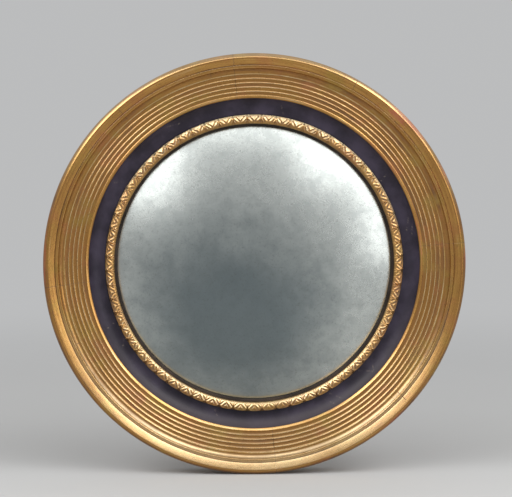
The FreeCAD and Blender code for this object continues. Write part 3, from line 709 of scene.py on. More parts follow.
def old_pine(name, turn=0.0, shift=0.0):
    """Old pine with its grain along X, turned about the mirror's axis: rings as stretched noise
    pushed through a sine, pores as fine stretched noise, and a brown bloom of age and dust. Each
    piece is cut from another place of the same log, by the shift."""
    tones = settings().other
    finish = Finish(name)
    cut = {"rotation": (0, turn, 0), "location": (shift, shift * 0.37, shift * 0.61)}
    slow = finish.noise(finish.stretched((0.45, 5.2, 5.2), **cut), 1.0, 2.5, 0.45, 0.25)
    rings = finish.line(finish.calc("SINE", finish.times(slow, 150.0)), 0.5, 0.5)
    faint = finish.noise(finish.stretched((1.2, 14, 14), **cut))
    pores = finish.noise(finish.stretched((16, 620, 620), **cut), 1.0, 2.0, 0.6)
    saw = finish.noise(finish.stretched((420, 3, 3), **cut), 1.0, 1.0, 0.4)
    age = finish.noise(finish.place(), 9.0, 5.0, 0.6)
    late = finish.times(finish.level(rings, 0.30, 1.0), finish.level(faint, 0.3, 0.7, 0.35, 1.0))
    tone = finish.blend(late, tones.pine_light, tones.pine_dark)
    tone = finish.patched(tone, tinted(tones.pine_dark, 0.7), pores, 0.50, 0.70, 0.45)
    tone = finish.patched(tone, tinted(tones.pine_dark, 0.80), age, 0.38, 0.70, 0.55)
    height = finish.line(pores, 0.6, finish.times(rings, 0.4))
    normal = finish.bump(height, 0.2 * MM, 0.7, finish.bump(saw, 0.12 * MM, 0.35))
    finish.set(Base_Color=tone, Roughness=finish.line(rings, -0.12, 0.76), Normal=normal)
    return finish.material


def old_metal(name, shade, stain, dull):
    """Tarnished metal: clean on some patches and stained on others, finely scratched."""
    finish = Finish(name)
    clouds = finish.noise(finish.place(), 190.0, 4.0, 0.6)
    scratches = finish.noise(finish.stretched((90, 90, 2600)), 1.0, 2.0, 0.5)
    stained = finish.level(clouds, 0.42, 0.66)
    tone = finish.blend(finish.times(stained, 0.8), shade, stain)
    gloss = finish.line(scratches, 0.12, finish.line(stained, 0.25, dull))
    normal = finish.bump(clouds, 0.08 * MM, 0.5, finish.bump(scratches, 0.03 * MM, 0.4))
    finish.set(Base_Color=tone, Metallic=finish.line(stained, -0.45, 1.0))
    finish.set(Roughness=gloss, Normal=normal)
    return finish.material


def pressed_cork(name):
    """Cork: grains of several browns with dark gaps between them."""
    cork = settings().other.cork
    finish = Finish(name)
    grains = {"Vector": finish.place(), "Scale": 520.0}
    shade = finish.add("SeparateColor", {0: finish.add("TexVoronoi", grains).outputs["Color"]})
    shade = shade.outputs[0]
    gaps = finish.add("TexVoronoi", grains, feature="DISTANCE_TO_EDGE").outputs[0]
    tone = finish.blend(shade, tinted(cork, 0.6), tinted(cork, 1.25))
    tone = finish.blend(finish.level(gaps, 0.0, 0.09, 0.8, 0.0), tone, tinted(cork, 0.2))
    normal = finish.bump(gaps, 0.25 * MM, 0.8)
    finish.set(Base_Color=tone, Roughness=finish.line(shade, 0.1, 0.8), Normal=normal)
    return finish.material


# ------------------------------------------------------------------------------- front: moulding

# Where handling has rubbed the gold down to the clay: angle and its half width in degrees, radius
# and its half width in millimetres, and how strongly.
RUBBED = (
    (47, 5, 296, 7, 0.62),
    (43, 9, 303, 4, 0.75),
    (-48, 9, 302, 4, 0.5),
    (24, 8, 303, 4, 0.5),
    (4, 9, 304, 4, 0.45),
    (178, 14, 303, 4, 0.5),
    (38, 22, 242, 2.2, 0.5),
    (8, 20, 242, 2.2, 0.55),
    (-15, 14, 256, 2.0, 0.3),
    (205, 16, 241, 2.0, 0.35),
    (232, 12, 243, 1.8, 0.45),
    (140, 10, 286, 3, 0.25),
    (300, 8, 244, 1.8, 0.4),
    (136, 17, 288.2, 1.0, 0.45),
    (150, 9, 291, 0.9, 0.4),
    (112, 10, 279, 1.0, 0.32),
    (70, 14, 288.3, 1.0, 0.4),
    (58, 9, 292, 0.9, 0.35),
    (20, 12, 289, 1.1, 0.38),
    (-30, 15, 288.2, 0.9, 0.35),
    (198, 14, 288.3, 1.0, 0.4),
    (188, 9, 281, 0.9, 0.3),
    (236, 16, 288.2, 0.9, 0.3),
)

# Cracks across the gesso: angle in degrees, and the radii in millimetres that they run between.
CRACKS = ((103, 274, 290), (61, 286, 306), (131, 276, 300), (204, 274, 288), (318, 276, 296))

# Where the roll's and the thumb's arcs pass, as shares of their widths and heights.
ROLL_VIA = (0.58, 0.41)
THUMB_VIA = (0.5, 0.46)

# How much painted highlight, with some dusting, the moulding's upward faces get: an amount inside
# all of these radii, and what is added from the first radius to the second, in millimetres.
DUST_AND_SHEEN_INSIDE = 0.16
DUST_AND_SHEEN_STEPS = ((242.5, 245, 0.12), (274, 279, 0.30), (288, 290, 0.14), (298, 300, -0.42))


def beyond(values, low, high):
    """A smooth rise from nothing to one between two lengths in millimetres."""
    return smooth_step(low * MM, high * MM, values)


def near(values, centre, width):
    """A bell about one length, with another as its half width, both in millimetres."""
    return bell(values, centre * MM, width * MM)


def quarter_round(centre, across, along, first, last):
    """Part of an ellipse about a centre, between two angles in quarter turns."""
    turn = QUARTER * np.linspace(first, last, 16)
    return np.stack([centre[0] + across * np.cos(turn), centre[1] + along * np.sin(turn)], 1)


def flute(start, finish, sag, power):
    """A groove from arris to arris, as deep below its chord as sag (1 - |t|^power), where t goes
    from -1 to 1: flat in the middle and steep beside the arrises."""
    t = np.linspace(-1, 1, 33)[:, None]
    first, second = np.array(start), np.array(finish)
    line = (first + second) / 2 + t * (second - first) / 2
    return line - np.array([0, 1]) * sag * (1 - np.abs(t) ** power)


def moulding_section(sizes):
    """Foot, hollow side, roll, thumb moulding, quirk, fillet, hollow, flutes and bevel."""
    span = reach("moulding_upper_right")
    crest = (span.outer - sizes.thumb_roll, span.front)
    side = crest[0] - sizes.side_recess
    waist = crest[1] - sizes.thumb_drop
    thumb = crest[0] - sizes.thumb_width
    quirk = thumb - sizes.quirk_width
    fillet = quirk - sizes.fillet_width
    face = crest[1] - sizes.thumb_rise
    groove = face - sizes.quirk_depth
    low = face - sizes.fillet_fall
    last = (fillet - sizes.hollow_width, low - sizes.hollow_rise)
    arrises = [
        (last[0] - sizes.flute_pitch * number, last[1] - sizes.arris_rise * number)
        for number in range(sizes.flutes + 1)
    ]
    flutes = [
        flute(first, second, sizes.flute_depth, sizes.flute_power)
        for first, second in zip(arrises, arrises[1:])
    ]
    foot = (side, span.back + sizes.side_foot)
    roll_via = (
        crest[0] + sizes.thumb_roll * ROLL_VIA[0],
        crest[1] - sizes.thumb_drop * ROLL_VIA[1],
    )
    thumb_via = (
        thumb + sizes.thumb_width * THUMB_VIA[0],
        crest[1] - sizes.thumb_rise * THUMB_VIA[1],
    )
    return joined(
        [(span.inner, span.back), (side, span.back), foot],
        hollow(foot, (crest[0], waist - sizes.thumb_drop), sizes.side_sag),
        quarter_round((crest[0], waist), sizes.thumb_roll, sizes.thumb_drop, -1, 0),
        arc((span.outer, waist), roll_via, crest),
        arc(crest, thumb_via, (thumb, face)),
        [(thumb, groove), (quirk, groove), (quirk, face), (fillet, low)],
        hollow((fillet, low), last, sizes.hollow_sag),
        *flutes,
        [(span.inner, arrises[-1][1] - sizes.bevel_rise)],
    )


def clay_mark(angles, radii):
    """Bell-shaped patches in angle and radius, the strongest one at each point."""
    total = np.zeros((len(angles), len(radii)))
    for centre, spread, radius, width, strength in RUBBED:
        turn = turn_from(math.radians(centre), angles)
        patch = bell(turn, 0, math.radians(spread))[:, None] * near(radii, radius, width)
        total = np.maximum(total, strength * patch)
    return total


def crack_mark(angles, radii, ends):
    """Thin lines along the radius at the cracks, and at the glued joints between the quarters. A
    crack fades out over the last few millimetres at both its ends."""
    joint_radius, crack_radius, fade = 0.27, 0.29, 3
    total = np.zeros((len(angles), len(radii)))
    for end in ends:
        total = np.maximum(total, 0.9 * near((angles - end) * joint_radius, 0, 0.25)[:, None])
    for centre, inner, outer in CRACKS:
        turn = turn_from(math.radians(centre), angles)
        over = beyond(radii, inner, inner + fade) * (1 - beyond(radii, outer - fade, outer))
        total = np.maximum(total, 0.8 * near(turn * crack_radius, 0, 0.35)[:, None] * over)
    return total


def held_down(values, zone, most):
    """Values kept under a limit where the zone is one, and as they are where it is nothing."""
    return values * (1 - zone) + np.minimum(values, most) * zone


class MIRROR_OT_moulding(bpy.types.Operator):
    """Turns the gilt moulding: its section carried round each quarter, over slightly uneven gesso
    that dips at the glued joints."""

    bl_idname = "convex_mirror.moulding"
    bl_label = "Gilt moulding"

    def execute(self, context):
        sizes = settings().moulding
        section = Section(moulding_section(sizes), sizes.gesso)
        finish = gilding("water_gilding", 0.95, 0.42, 0.66)
        radii, depths = section.points.T
        tone = self.tone_line(section, radii, depths)
        roll = beyond(radii, 300, 303) * beyond(depths, 50, 58)
        # Painted highlight, with some dusting, on faces that turn up, and on the ledge by the quirk
        # in the lower half.
        dust_and_sheen_amount = self.dust_and_sheen_line(radii, depths)
        ledge = 0.4 * near(radii, 286.9, 1.9)
        cracks = [math.radians(crack[0]) + TURN * turn for crack in CRACKS for turn in (-1, 0, 1)]
        for name in QUARTERS:
            node = f"moulding_{name}"
            start = first_angle(node)
            ends = (start, start + QUARTER)
            angles = columns(start, QUARTER, math.radians(0.3), [*ends, *cracks])
            crack = crack_mark(angles, radii, ends)
            lift = waves(angles, section.along, 11, 0.09 * MM, 8) - 0.16 * MM * crack
            facing = upward(section.outward[:, 0], angles)
            facing_in = upward(-np.ones(len(radii)), angles)
            marks = {
                "raised": tone + waves(angles, section.along, 23, 0.05, 12, 8 * MM),
                "clay": np.maximum(clay_mark(angles, radii), 0.17 * roll),
                "crack": crack,
                "dust": dust_and_sheen_amount * facing + ledge * facing_in,
            }
            mesh = turned(f"gilt_{node}", section, angles, lift, marks)
            add_piece(mesh, finish, "frame", "gilding", node)
        return {"FINISHED"}

    @staticmethod
    def dust_and_sheen_line(radii, depths):
        """How much painted highlight and dusting lies along the section: more of it outwards, and
        little on the side.
        """
        dust_and_sheen_amount = DUST_AND_SHEEN_INSIDE + sum(more * beyond(radii, *ends) for *ends, more in DUST_AND_SHEEN_STEPS)
        return dust_and_sheen_amount * (0.3 + 0.7 * np.maximum(beyond(depths, 54, 62), radii < 290 * MM))

    @staticmethod
    def tone_line(section, radii, depths):
        """How rubbed the gold is along the section, partly real rubbing and toning and partly
        painted light:
        bright on the arrises, a painted highlight too; toned in the flutes, the quirk and the joint
        with the cove, with painted shade in the flutes and the quirk;
        and held down on the fillet, the roll, the crest and the first arris, which on the roll and
        the crest is painted shade."""
        # Paler on the arrises, partly rubbing and partly a painted highlight; darker in the flutes,
        # partly toning and partly painted shade.
        tone = np.clip(0.41 + 0.50 * section.raised / (0.6 * MM), 0.23, 1.0)
        tone = tone - 0.07 * beyond(radii, 288, 290)
        tone = held_down(tone, near(radii, 285.8, 3.2), 0.40)
        # Painted shade in the quirk, with toning.
        tone = tone * (1 - 0.55 * near(radii, 288.3, 1.0) * (depths > 60 * MM))
        # Painted shade on the roll's outward face.
        tone = held_down(tone, beyond(radii, 299.6, 302.4), 0.16)
        # Painted shade on the crest, which dims its highlight.
        tone = held_down(tone, near(radii, 298.9, 1.6) * (depths > 70 * MM), 0.20)
        tone = held_down(tone, near(radii, 243.7, 1.3), 0.44)
        return tone * (1 - 0.75 * (1 - beyond(radii, 240.4, 243.2)))


# ---------------------------------------------------------------------------- front: cove and slip

# Scratches in the black polish: angle in degrees and radius in millimetres at both ends.
SCRATCHES = (
    (-60, 221, -57, 236),
    (-63, 224, -60, 238),
    (-46, 219, -42, 237),
    (-39, 220, -42.5, 236),
    (12, 226, 17, 234),
    (10, 232, 14, 236),
    (79, 220, 80.5, 233),
    (203, 222, 204, 237),
    (210, 219, 213, 228),
    (148, 224, 150, 236),
    (118, 230, 123, 236),
    (255, 222, 256.5, 230),
    (33, 219, 34, 231),
)


def scratch_mark(angles, radii):
    """Distance from each straight scratch, in the plane of the wall, through a narrow bell that
    comes and goes along it."""
    points = np.stack([radii * np.cos(angles)[:, None], radii * np.sin(angles)[:, None]], -1)
    total = np.zeros(points.shape[:2])
    for scratch in SCRATCHES:
        turns, ends = np.radians(scratch[::2]), np.array(scratch[1::2]) * MM
        first, last = (r * np.array([math.cos(a), math.sin(a)]) for a, r in zip(turns, ends))
        run = last - first
        way = (points - first) @ run / (run @ run)
        gap = np.linalg.norm(points - first - run * np.clip(way, 0, 1)[..., None], axis=-1)
        total = np.maximum(total, near(gap, 0, 0.28) * (0.5 + 0.5 * np.cos(way * 9.0)))
    return total


class MIRROR_OT_cove(bpy.types.Operator):
    """Turns the ebonised cove, a hollow between the leaves and the gilt moulding."""

    bl_idname = "convex_mirror.cove"
    bl_label = "Ebonised cove"

    foot = 9.0 * MM  # height of its inner edge
    steps = 1080

    def execute(self, context):
        span = reach("ebonised_cove")
        sizes = settings().ornament
        edge = (span.outer, span.front)
        line = joined(
            [(span.inner, span.back), (span.outer, span.back), edge],
            hollow(edge, (span.inner, span.back + self.foot), sizes.cove_sag, 60),
        )
        section = Section(line, 0.3 * MM)
        radii = section.points[:, 0]
        angles = TURN * np.arange(self.steps) / self.steps
        lift = waves(angles, section.along, 5, 0.05 * MM, 7)
        # Painted sheen, with some dusting: more towards the cove's outer edge, on faces that turn
        # up.
        dust_and_sheen_amount = 0.35 + 0.75 * beyond(radii, 224, 237)
        marks = {
            "scratch": scratch_mark(angles, radii),
            "dust": upward(section.outward[:, 0], angles) * dust_and_sheen_amount,
        }
        mesh = turned("ebonised_hollow", section, None, lift, marks, self.steps)
        finish = black_polish("black_polish", settings().other.ebony, True)
        add_piece(mesh, finish, "frame", "ebonised_wood", "ebonised_cove")
        return {"FINISHED"}


class MIRROR_OT_slip(bpy.types.Operator):
    """Turns the black slip, whose lip steps down twice to the glass. The leaves' inner edge laps
    over a notch in its face."""

    bl_idname = "convex_mirror.slip"
    bl_label = "Sight slip"

    glass_gap = 1.3 * MM
    bulges = (-0.25 * MM, -0.3 * MM)  # of the lip's two steps
    steps = 720

    def execute(self, context):
        sizes = settings().ornament
        span = reach("sight_slip")
        leaf = reach("leaf_strip_1")
        bore = reach("mirror_glass").outer + self.glass_gap
        seat = self.lip_seat()
        step = sizes.lip_step / 2
        edge = seat + sizes.lip_thickness
        shelf = span.front - sizes.flange_drop
        notch = leaf.inner + sizes.flange_width
        half, between = (span.inner + leaf.inner) / 2, (edge + shelf) / 2
        line = joined(
            [(bore, span.back), (span.outer, span.back), (span.outer, span.front)],
            [(notch, span.front), (notch, shelf), (leaf.inner, shelf)],
            hollow((leaf.inner, shelf - step), (half, between + step), self.bulges[0]),
            [(half, between - step)],
            hollow((half, between - step), (span.inner, edge - step), self.bulges[1]),
            [(span.inner, seat), (bore, seat)],
        )
        mesh = turned("black_slip", Section(line, 0.14 * MM), steps=self.steps)
        finish = black_polish("slip_polish", settings().other.slip, False)
        add_piece(mesh, finish, "frame", "ebonised_wood", "sight_slip")
        return {"FINISHED"}

    @staticmethod
    def lip_seat():
        """Depth of the back of the lip: the least depth of the slip's points at its inner edge."""
        x, y, z = points_of("sight_slip")
        radius = np.hypot(x, z)
        return float((-y[radius < radius.min() + 0.2 * MM]).min())


# --------------------------------------------------------------------------------- front: leaves

FOLD_PERIOD = 7.0 * MM
DART_RISE = 0.6 * MM
GROOVE_DEPTH = 0.8 * MM
THINNEST = 0.25 * MM


def leaf_height(across, up, pitch, width, sizes, crest, jitter):
    """Height of the ornament over its seat, and how rubbed its gold is: partly rubbing, partly
    painted highlight and shade.

    across is the distance from a leaf's middle along the band and up the distance from the band's
    inner edge. A dome, an arch of the band's width, carries round-tipped leaves: each has a rim, a
    bell of the distance from its outline, a shallow bowl, a middle vein and slanting folds, a
    cosine that leans outwards on both sides of the vein, with a groove round it. A pointed dart
    rises between two leaves.
    """
    place = up / width
    away = np.abs(across)
    swell = np.sqrt(np.clip(1 - (2 * place**1.12 - 1) ** 2, 0, 1))
    dome = sizes.leaf_base + 0.95 * (crest - sizes.leaf_base) * swell
    # The outline: straight sides up to the shoulder and a rounded tip, a superellipse, beyond it.
    half = 0.482 * pitch * jitter["wide"]
    shoulder, tip, power = 0.50, 1.02, 2.8
    way = np.clip((place - shoulder) / (tip - shoulder), 0, None)
    oval = ((away / half) ** power + way**power) ** (1 / power)
    side = half * (0.84 + 0.16 * np.clip(place / shoulder, 0, 1)) - away
    inside = np.where(place > shoulder, (1 - oval) * half * 0.85, side)
    leaf = beyond(inside, -0.30, 0.30)
    rim = near(inside, 0.85, 0.72) * (0.35 + 0.65 * smooth_step(0.12, 0.45, place))
    rim = jitter["rim"] * rim
    vein = near(across, 0, 0.5) * (1 - smooth_step(0.66, 0.90, place))
    bowl = beyond(inside, 0.9, 2.4) * smooth_step(0.2, 0.6, place)
    fan = np.cos((away * 1.2 - up * 0.95 + jitter["lean"]) * TURN / FOLD_PERIOD)
    fan = fan * beyond(inside, 0.1, 0.9) * smooth_step(0.18, 0.40, place)
    fan = jitter["rim"] * fan * (1 - 0.85 * smooth_step(0.62, 0.84, place))
    dart = near(pitch / 2 - away, 0, 0.55) * smooth_step(0.20, 0.55, place)
    groove = near(inside, -0.12, 0.34)
    on_leaf = dome + sizes.leaf_rim * rim - sizes.leaf_bowl * bowl + sizes.leaf_vein * vein
    on_leaf = on_leaf + sizes.leaf_fold * fan
    between = dome * (0.97 - 0.12 * smooth_step(0.5, 0.92, place)) + DART_RISE * dart
    between = between * (1 - 0.65 * smooth_step(0.80, 1.0, place))
    height = leaf * on_leaf + (1 - leaf) * between - GROOVE_DEPTH * groove
    # Partly painted light: paler on the folds, vein and darts as rubbing and as a painted
    # highlight, darker in the groove round each leaf and towards the tips as painted shade.
    rubbed = leaf * (0.36 + 0.04 * rim + 0.10 * vein + 0.30 * fan - 0.03 * bowl)
    rubbed = rubbed + (1 - leaf) * (0.34 + 0.45 * dart)
    rubbed = rubbed - 0.34 * groove - 0.20 * smooth_step(0.6, 0.9, place)
    return np.clip(height, THINNEST, None), np.clip(rubbed, 0.06, 1.0)


class MIRROR_OT_leaves(bpy.types.Operator):
    """Presses the four strips of gilt leaves: a height over a grid of angle and radius."""

    bl_idname = "convex_mirror.leaves"
    bl_label = "Leaf ornament"

    strips, per_leaf, rows = 4, 44, 36
    lap_gap = 0.1 * MM  # between the leaves' lap and the slip
    # How leaves differ, as the mean and the spread of each: their place along the band, their
    # width, the height of their rim, and how far their folds are shifted.
    spreads = {
        "slip": (0, 0.22 * MM),
        "wide": (1, 0.02),
        "rim": (1, 0.22),
        "lean": (0, 1.1 * MM),
    }

    def execute(self, context):
        finish = gilding("gilt_composition", 0.80, 0.20, 0.22, 0.07, 0.27)
        for number in range(self.strips):
            points, marks = self.strip(number)
            node = f"leaf_strip_{number + 1}"
            mesh = grid_mesh(f"gilt_{node}", points, False, True, marks, 60.0)
            add_piece(mesh, finish, "frame", "gilt_composition", node)
        return {"FINISHED"}

    def strip(self, number):
        """One strip's points and marks. Each leaf differs a little from the next one."""
        sizes = settings().ornament
        span = reach("leaf_strip_1")
        width, middle_radius = span.outer - span.inner, (span.inner + span.outer) / 2
        step = QUARTER / sizes.leaves
        pitch = step * middle_radius
        start = QUARTER * number
        count = sizes.leaves * self.per_leaf
        angles = start + QUARTER * np.arange(count + 1) / count
        nearest = np.round((angles - start) / step).astype(int)
        rng = np.random.default_rng(40 + number)
        each = {key: rng.normal(*spread, sizes.leaves + 1) for key, spread in self.spreads.items()}
        across = ((angles - start) - nearest * step) * middle_radius
        edge_fade = np.clip((pitch / 2 - np.abs(across)) / (0.2 * pitch), 0, 1)
        across = across + each["slip"][nearest] * edge_fade
        up = width * (1 - np.cos(np.linspace(0, math.pi, self.rows))) / 2
        jitter = {key: each[key][nearest][:, None] for key in ("wide", "rim", "lean")}
        crest = span.front - span.back
        height, rubbed = leaf_height(across[:, None], up, pitch, width, sizes, crest, jitter)
        height = height * (1 + waves(angles, up, 60 + number, 0.03, 60, 7 * MM))
        rubbed = rubbed + waves(angles, up, 80 + number, 0.10, 24, 5 * MM)
        drop = self.lap_gap - sizes.flange_drop
        lap = np.array([(sizes.flange_width, 0.0), (sizes.flange_width, drop), (0.0, drop)])
        radii = np.concatenate([span.inner + lap[:, 0], span.inner + up, [span.outer]])[::-1]
        depths = self.with_sides(span.back + lap[:, 1], span.back + height, span.back)
        tone = self.with_sides(0.30, rubbed, 0.30)
        slope = np.gradient(height, up, axis=1)
        outward = self.with_sides(-1, -slope / np.hypot(slope, 1), 1)
        # Painted highlight, with some dusting, on the leaves' upward faces, more on their outer
        # part.
        dust_and_sheen_amount = 0.32 + 0.60 * smooth_step(0.04, 0.30, up / width)
        dust_and_sheen_amount = np.concatenate([[0.35] * len(lap), dust_and_sheen_amount, [1]])
        marks = {
            "raised": tone,
            "clay": 0.12 * (1 - tone),
            "crack": 0.0,
            "dust": dust_and_sheen_amount[::-1] * upward(outward, angles),
        }
        return place_round(radii, depths, angles[:, None]), marks

    @staticmethod
    def with_sides(lap, leaves, foot):
        """Values over the whole section, from the outer foot over the leaves to the three points of
        the lap."""
        rows = np.ones((len(leaves), 1))
        return np.hstack([rows * np.broadcast_to(lap, 3), leaves, rows * foot])[:, ::-1]


# --------------------------------------------------------------------------------- glass and back


class MIRROR_OT_plate(bpy.types.Operator):
    """Blows the convex plate: two spheres about one centre, closed by a rim."""

    bl_idname = "convex_mirror.plate"
    bl_label = "Convex plate"

    rise: length("Rise", 34.0 * MM, "How far the crown stands in front of the edge")
    thickness: length("Thickness", 3.0 * MM, "Thickness of the plate")

    centre = (0.0, 0.0)
    front_rows, back_rows, steps = 64, 14, 288

    def execute(self, context):
        span = reach("mirror_glass")
        sphere = span.outer**2 / self.rise / 2 + self.rise / 2
        depth = span.front - sphere
        rim = math.asin(span.outer / sphere)
        faces = (
            (sphere - self.thickness, np.linspace(0, rim, self.back_rows)),
            (sphere, np.linspace(rim, 0, self.front_rows)),
        )
        section = np.concatenate(
            [np.stack([r * np.sin(turn), depth + r * np.cos(turn)], 1) for r, turn in faces]
        )
        mesh = disc("convex_plate", section, self.centre, self.steps)
        finish = antique_plate("antique_plate", span.outer)
        add_piece(mesh, finish, "frame", "glass", "mirror_glass")
        dress("silvering", backing_paint("backing_paint"))
        return {"FINISHED"}


class MIRROR_OT_carcase(bpy.types.Operator):
    """Turns the four pine segments of the carcase and sets the blocks behind the glass."""

    bl_idname = "convex_mirror.carcase"
    bl_label = "Pine carcase"

    board_gap = 0.3 * MM
    chamfer = 2.0 * MM
    joint_radius = 0.26

    def execute(self, context):
        span = reach("carcase_top")
        board = reach("backboard_plank_middle")
        rebate = board.outer + self.board_gap
        line = joined(
            [(rebate, board.front), (rebate, span.back), (span.outer - self.chamfer, span.back)],
            [(span.outer, span.back + self.chamfer), (span.outer, span.front)],
            [(span.inner, span.front), (span.inner, board.front)],
        )
        section = Section(line, 0.35 * MM)
        for number, name in enumerate(SEGMENTS):
            node = f"carcase_{name}"
            start = first_angle(node)
            ends = (start, start + QUARTER)
            angles = columns(start, QUARTER, math.radians(0.75), ends)
            dip = sum(near((angles - end) * self.joint_radius, 0, 0.35) for end in ends)
            lift = waves(angles, section.along, 70 + number, 0.08 * MM, 6) - 0.3 * MM * dip[:, None]
            mesh = turned(f"pine_{node}", section, angles, lift)
            finish = old_pine(f"pine_{name}", start + QUARTER / 2 + QUARTER, 1.7 * number)
            add_piece(mesh, finish, "frame", "pine", node)
        dress("glazing_blocks", old_pine("pine_blocks", 0.4, 9.1))
        return {"FINISHED"}


def plank_outline(radius, low, high, steps=90):
    """The part of a disc between two heights, as a closed loop seen from the room."""
    first, last = (math.asin(np.clip(z / radius, -1, 1)) for z in (low, high))
    right = np.linspace(first, last, steps)
    angles = np.concatenate([right, math.pi - right[::-1]])
    loop = radius * np.stack([np.cos(angles), np.sin(angles)], 1)
    step = np.linalg.norm(loop - np.roll(loop, 1, 0), axis=1)
    return loop[step > 10e-6]


def inset(loop, by):
    """A loop moved inwards, square to itself."""
    before = loop - np.roll(loop, 1, 0)
    after = np.roll(loop, -1, 0) - loop
    before /= np.linalg.norm(before, axis=1, keepdims=True)
    after /= np.linalg.norm(after, axis=1, keepdims=True)
    normals = [np.stack([-edge[:, 1], edge[:, 0]], 1) for edge in (before, after)]
    mean = normals[0] + normals[1]
    return loop + by * mean * 2 / (mean**2).sum(1, keepdims=True)


class MIRROR_OT_backboard(bpy.types.Operator):
    """Cuts the three planks: an eased edge carried round each plank's outline."""

    bl_idname = "convex_mirror.backboard"
    bl_label = "Backboard"

    # Across the edge: how far inside the outline, and how far from the plank's back or front.
    edge = ((2.0, 0.08), (0.7, 0.10), (0.25, 0.28), (0.0, 0.8))

    def execute(self, context):
        for number, name in enumerate(("top", "middle", "bottom")):
            node = f"backboard_plank_{name}"
            low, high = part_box(node)
            span = reach(node)
            loop = plank_outline(span.outer, low.z, high.z)
            near_edge = [(by * MM, span.back + off * MM) for by, off in self.edge]
            far_edge = [(by * MM, span.front - off * MM) for by, off in reversed(self.edge)]
            rings = [(inset(loop, by).T, depth) for by, depth in near_edge + far_edge]
            points = [np.stack([x, np.full(len(x), -depth), z], 1) for (x, z), depth in rings]
            mesh = self.slab(f"pine_{node}", np.stack(points))
            finish = old_pine(f"pine_plank_{name}", 0.0, 3.3 + 2.9 * number)
            add_piece(mesh, finish, "frame", "pine", node)
        return {"FINISHED"}

    @staticmethod
    def slab(name, points):
        """Rings of one outline at growing depth, closed by flat faces at the back and the front."""
        rings, count = points.shape[:2]
        index = np.arange(rings * count).reshape(rings, count)
        index = np.hstack([index, index[:, :1]])
        quads = np.stack([index[:-1, :-1], index[:-1, 1:], index[1:, 1:], index[1:, :-1]], -1)
        faces = quads.reshape(-1, 4).tolist()
        faces += [index[0, :count][::-1].tolist(), index[-1, :count].tolist()]
        mesh = bpy.data.meshes.new(name)
        mesh.from_pydata(points.reshape(-1, 3), [], faces)
        mesh.shade_smooth()
        mesh.set_sharp_from_angle(angle=math.radians(40))
        return mesh


class MIRROR_OT_fittings(bpy.types.Operator):
    """Finishes the screws and pins, and makes the hanger plates, hanging rings and cork bumpers."""

    bl_idname = "convex_mirror.fittings"
    bl_label = "Fittings"

    def execute(self, context):
        tones = settings().other
        steel = old_metal("dull_steel", tones.steel, tones.steel_stain, 0.36)
        brass = old_metal("tarnished_brass", tones.brass, tones.brass_stain, 0.27)
        cork = pressed_cork("pressed_cork")
        for node in ("backboard_screws", "slip_pins"):
            dress(node, steel)
        for side in SIDES:
            dress(f"hanger_screws_{side}", brass)
            dress(f"hanger_staple_{side}", brass)
            self.plate(side, brass)
            self.ring(side, brass)
            self.bumper(side, cork)
        return {"FINISHED"}

    def plate(self, side, finish):
        """A round plate with a rounded rim, a hair thinner than the heads of its screws."""
        node = f"hanger_plate_{side}"
        centre, radius, back, front = round_reach(node)
        back = back + 0.06 * MM
        bead = 0.55 * MM
        eighth = bead * (1 - EIGHTH)
        middle = (radius - eighth, back + eighth)
        rim = arc((radius - bead, back), middle, (radius, back + bead), 8)
        flat = [(radius * part, back) for part in (0, 0.3, 0.6, 0.85)]
        section = joined(flat, rim, [(radius, front), (0, front)])
        mesh = disc(f"brass_{node}", section, centre, 96)
        add_piece(mesh, finish, "frame", "brass", node)

    def ring(self, side, finish):
        """A wire ring: a circle carried round, thicker where its ends are brazed together, at its
        lowest point, with a fine groove in the middle of that."""
        node = f"hanging_ring_{side}"
        centre, radius, back, front = round_reach(node)
        wire = (front - back) / 2
        radius = radius - wire
        around = TURN * np.arange(24) / 24
        outward = np.stack([np.cos(around), np.sin(around)], 1)
        circle = (radius, (back + front) / 2) + wire * outward
        angles = TURN * np.arange(128) / 128
        from_joint = (angles - 3 * QUARTER) * radius
        lift = 0.09 * MM * near(from_joint, 0, 1.1) - 0.12 * MM * near(from_joint, 0, 0.3)
        radii, depths = (circle[:, k] + outward[:, k] * lift[:, None] for k in (0, 1))
        points = place_round(radii, depths, angles[:, None], centre)
        mesh = grid_mesh(f"brass_{node}", points, True, True)
        add_piece(mesh, finish, f"ring_{side}", "brass", node)

    def bumper(self, side, finish):
        """A cork disc with a worn edge, its face very slightly hollow."""
        node = f"wall_bumper_{side}"
        centre, radius, back, front = round_reach(node)
        worn, ease, dish = 1.0 * MM, 0.3 * MM, 0.12 * MM
        rim = arc((radius - worn, back), (radius - ease, back + ease), (radius, back + worn), 8)
        face = [(radius * part, back + dish * (1 - part)) for part in (0, 0.25, 0.5, 0.75)]
        foot = [(radius, front - ease), (radius - 0.2 * MM, front), (0, front)]
        mesh = disc(f"cork_{node}", joined(face, rim, foot), centre, 72)
        add_piece(mesh, finish, "frame", "cork", node)


# ----------------------------------------------------------------------------------------- stage


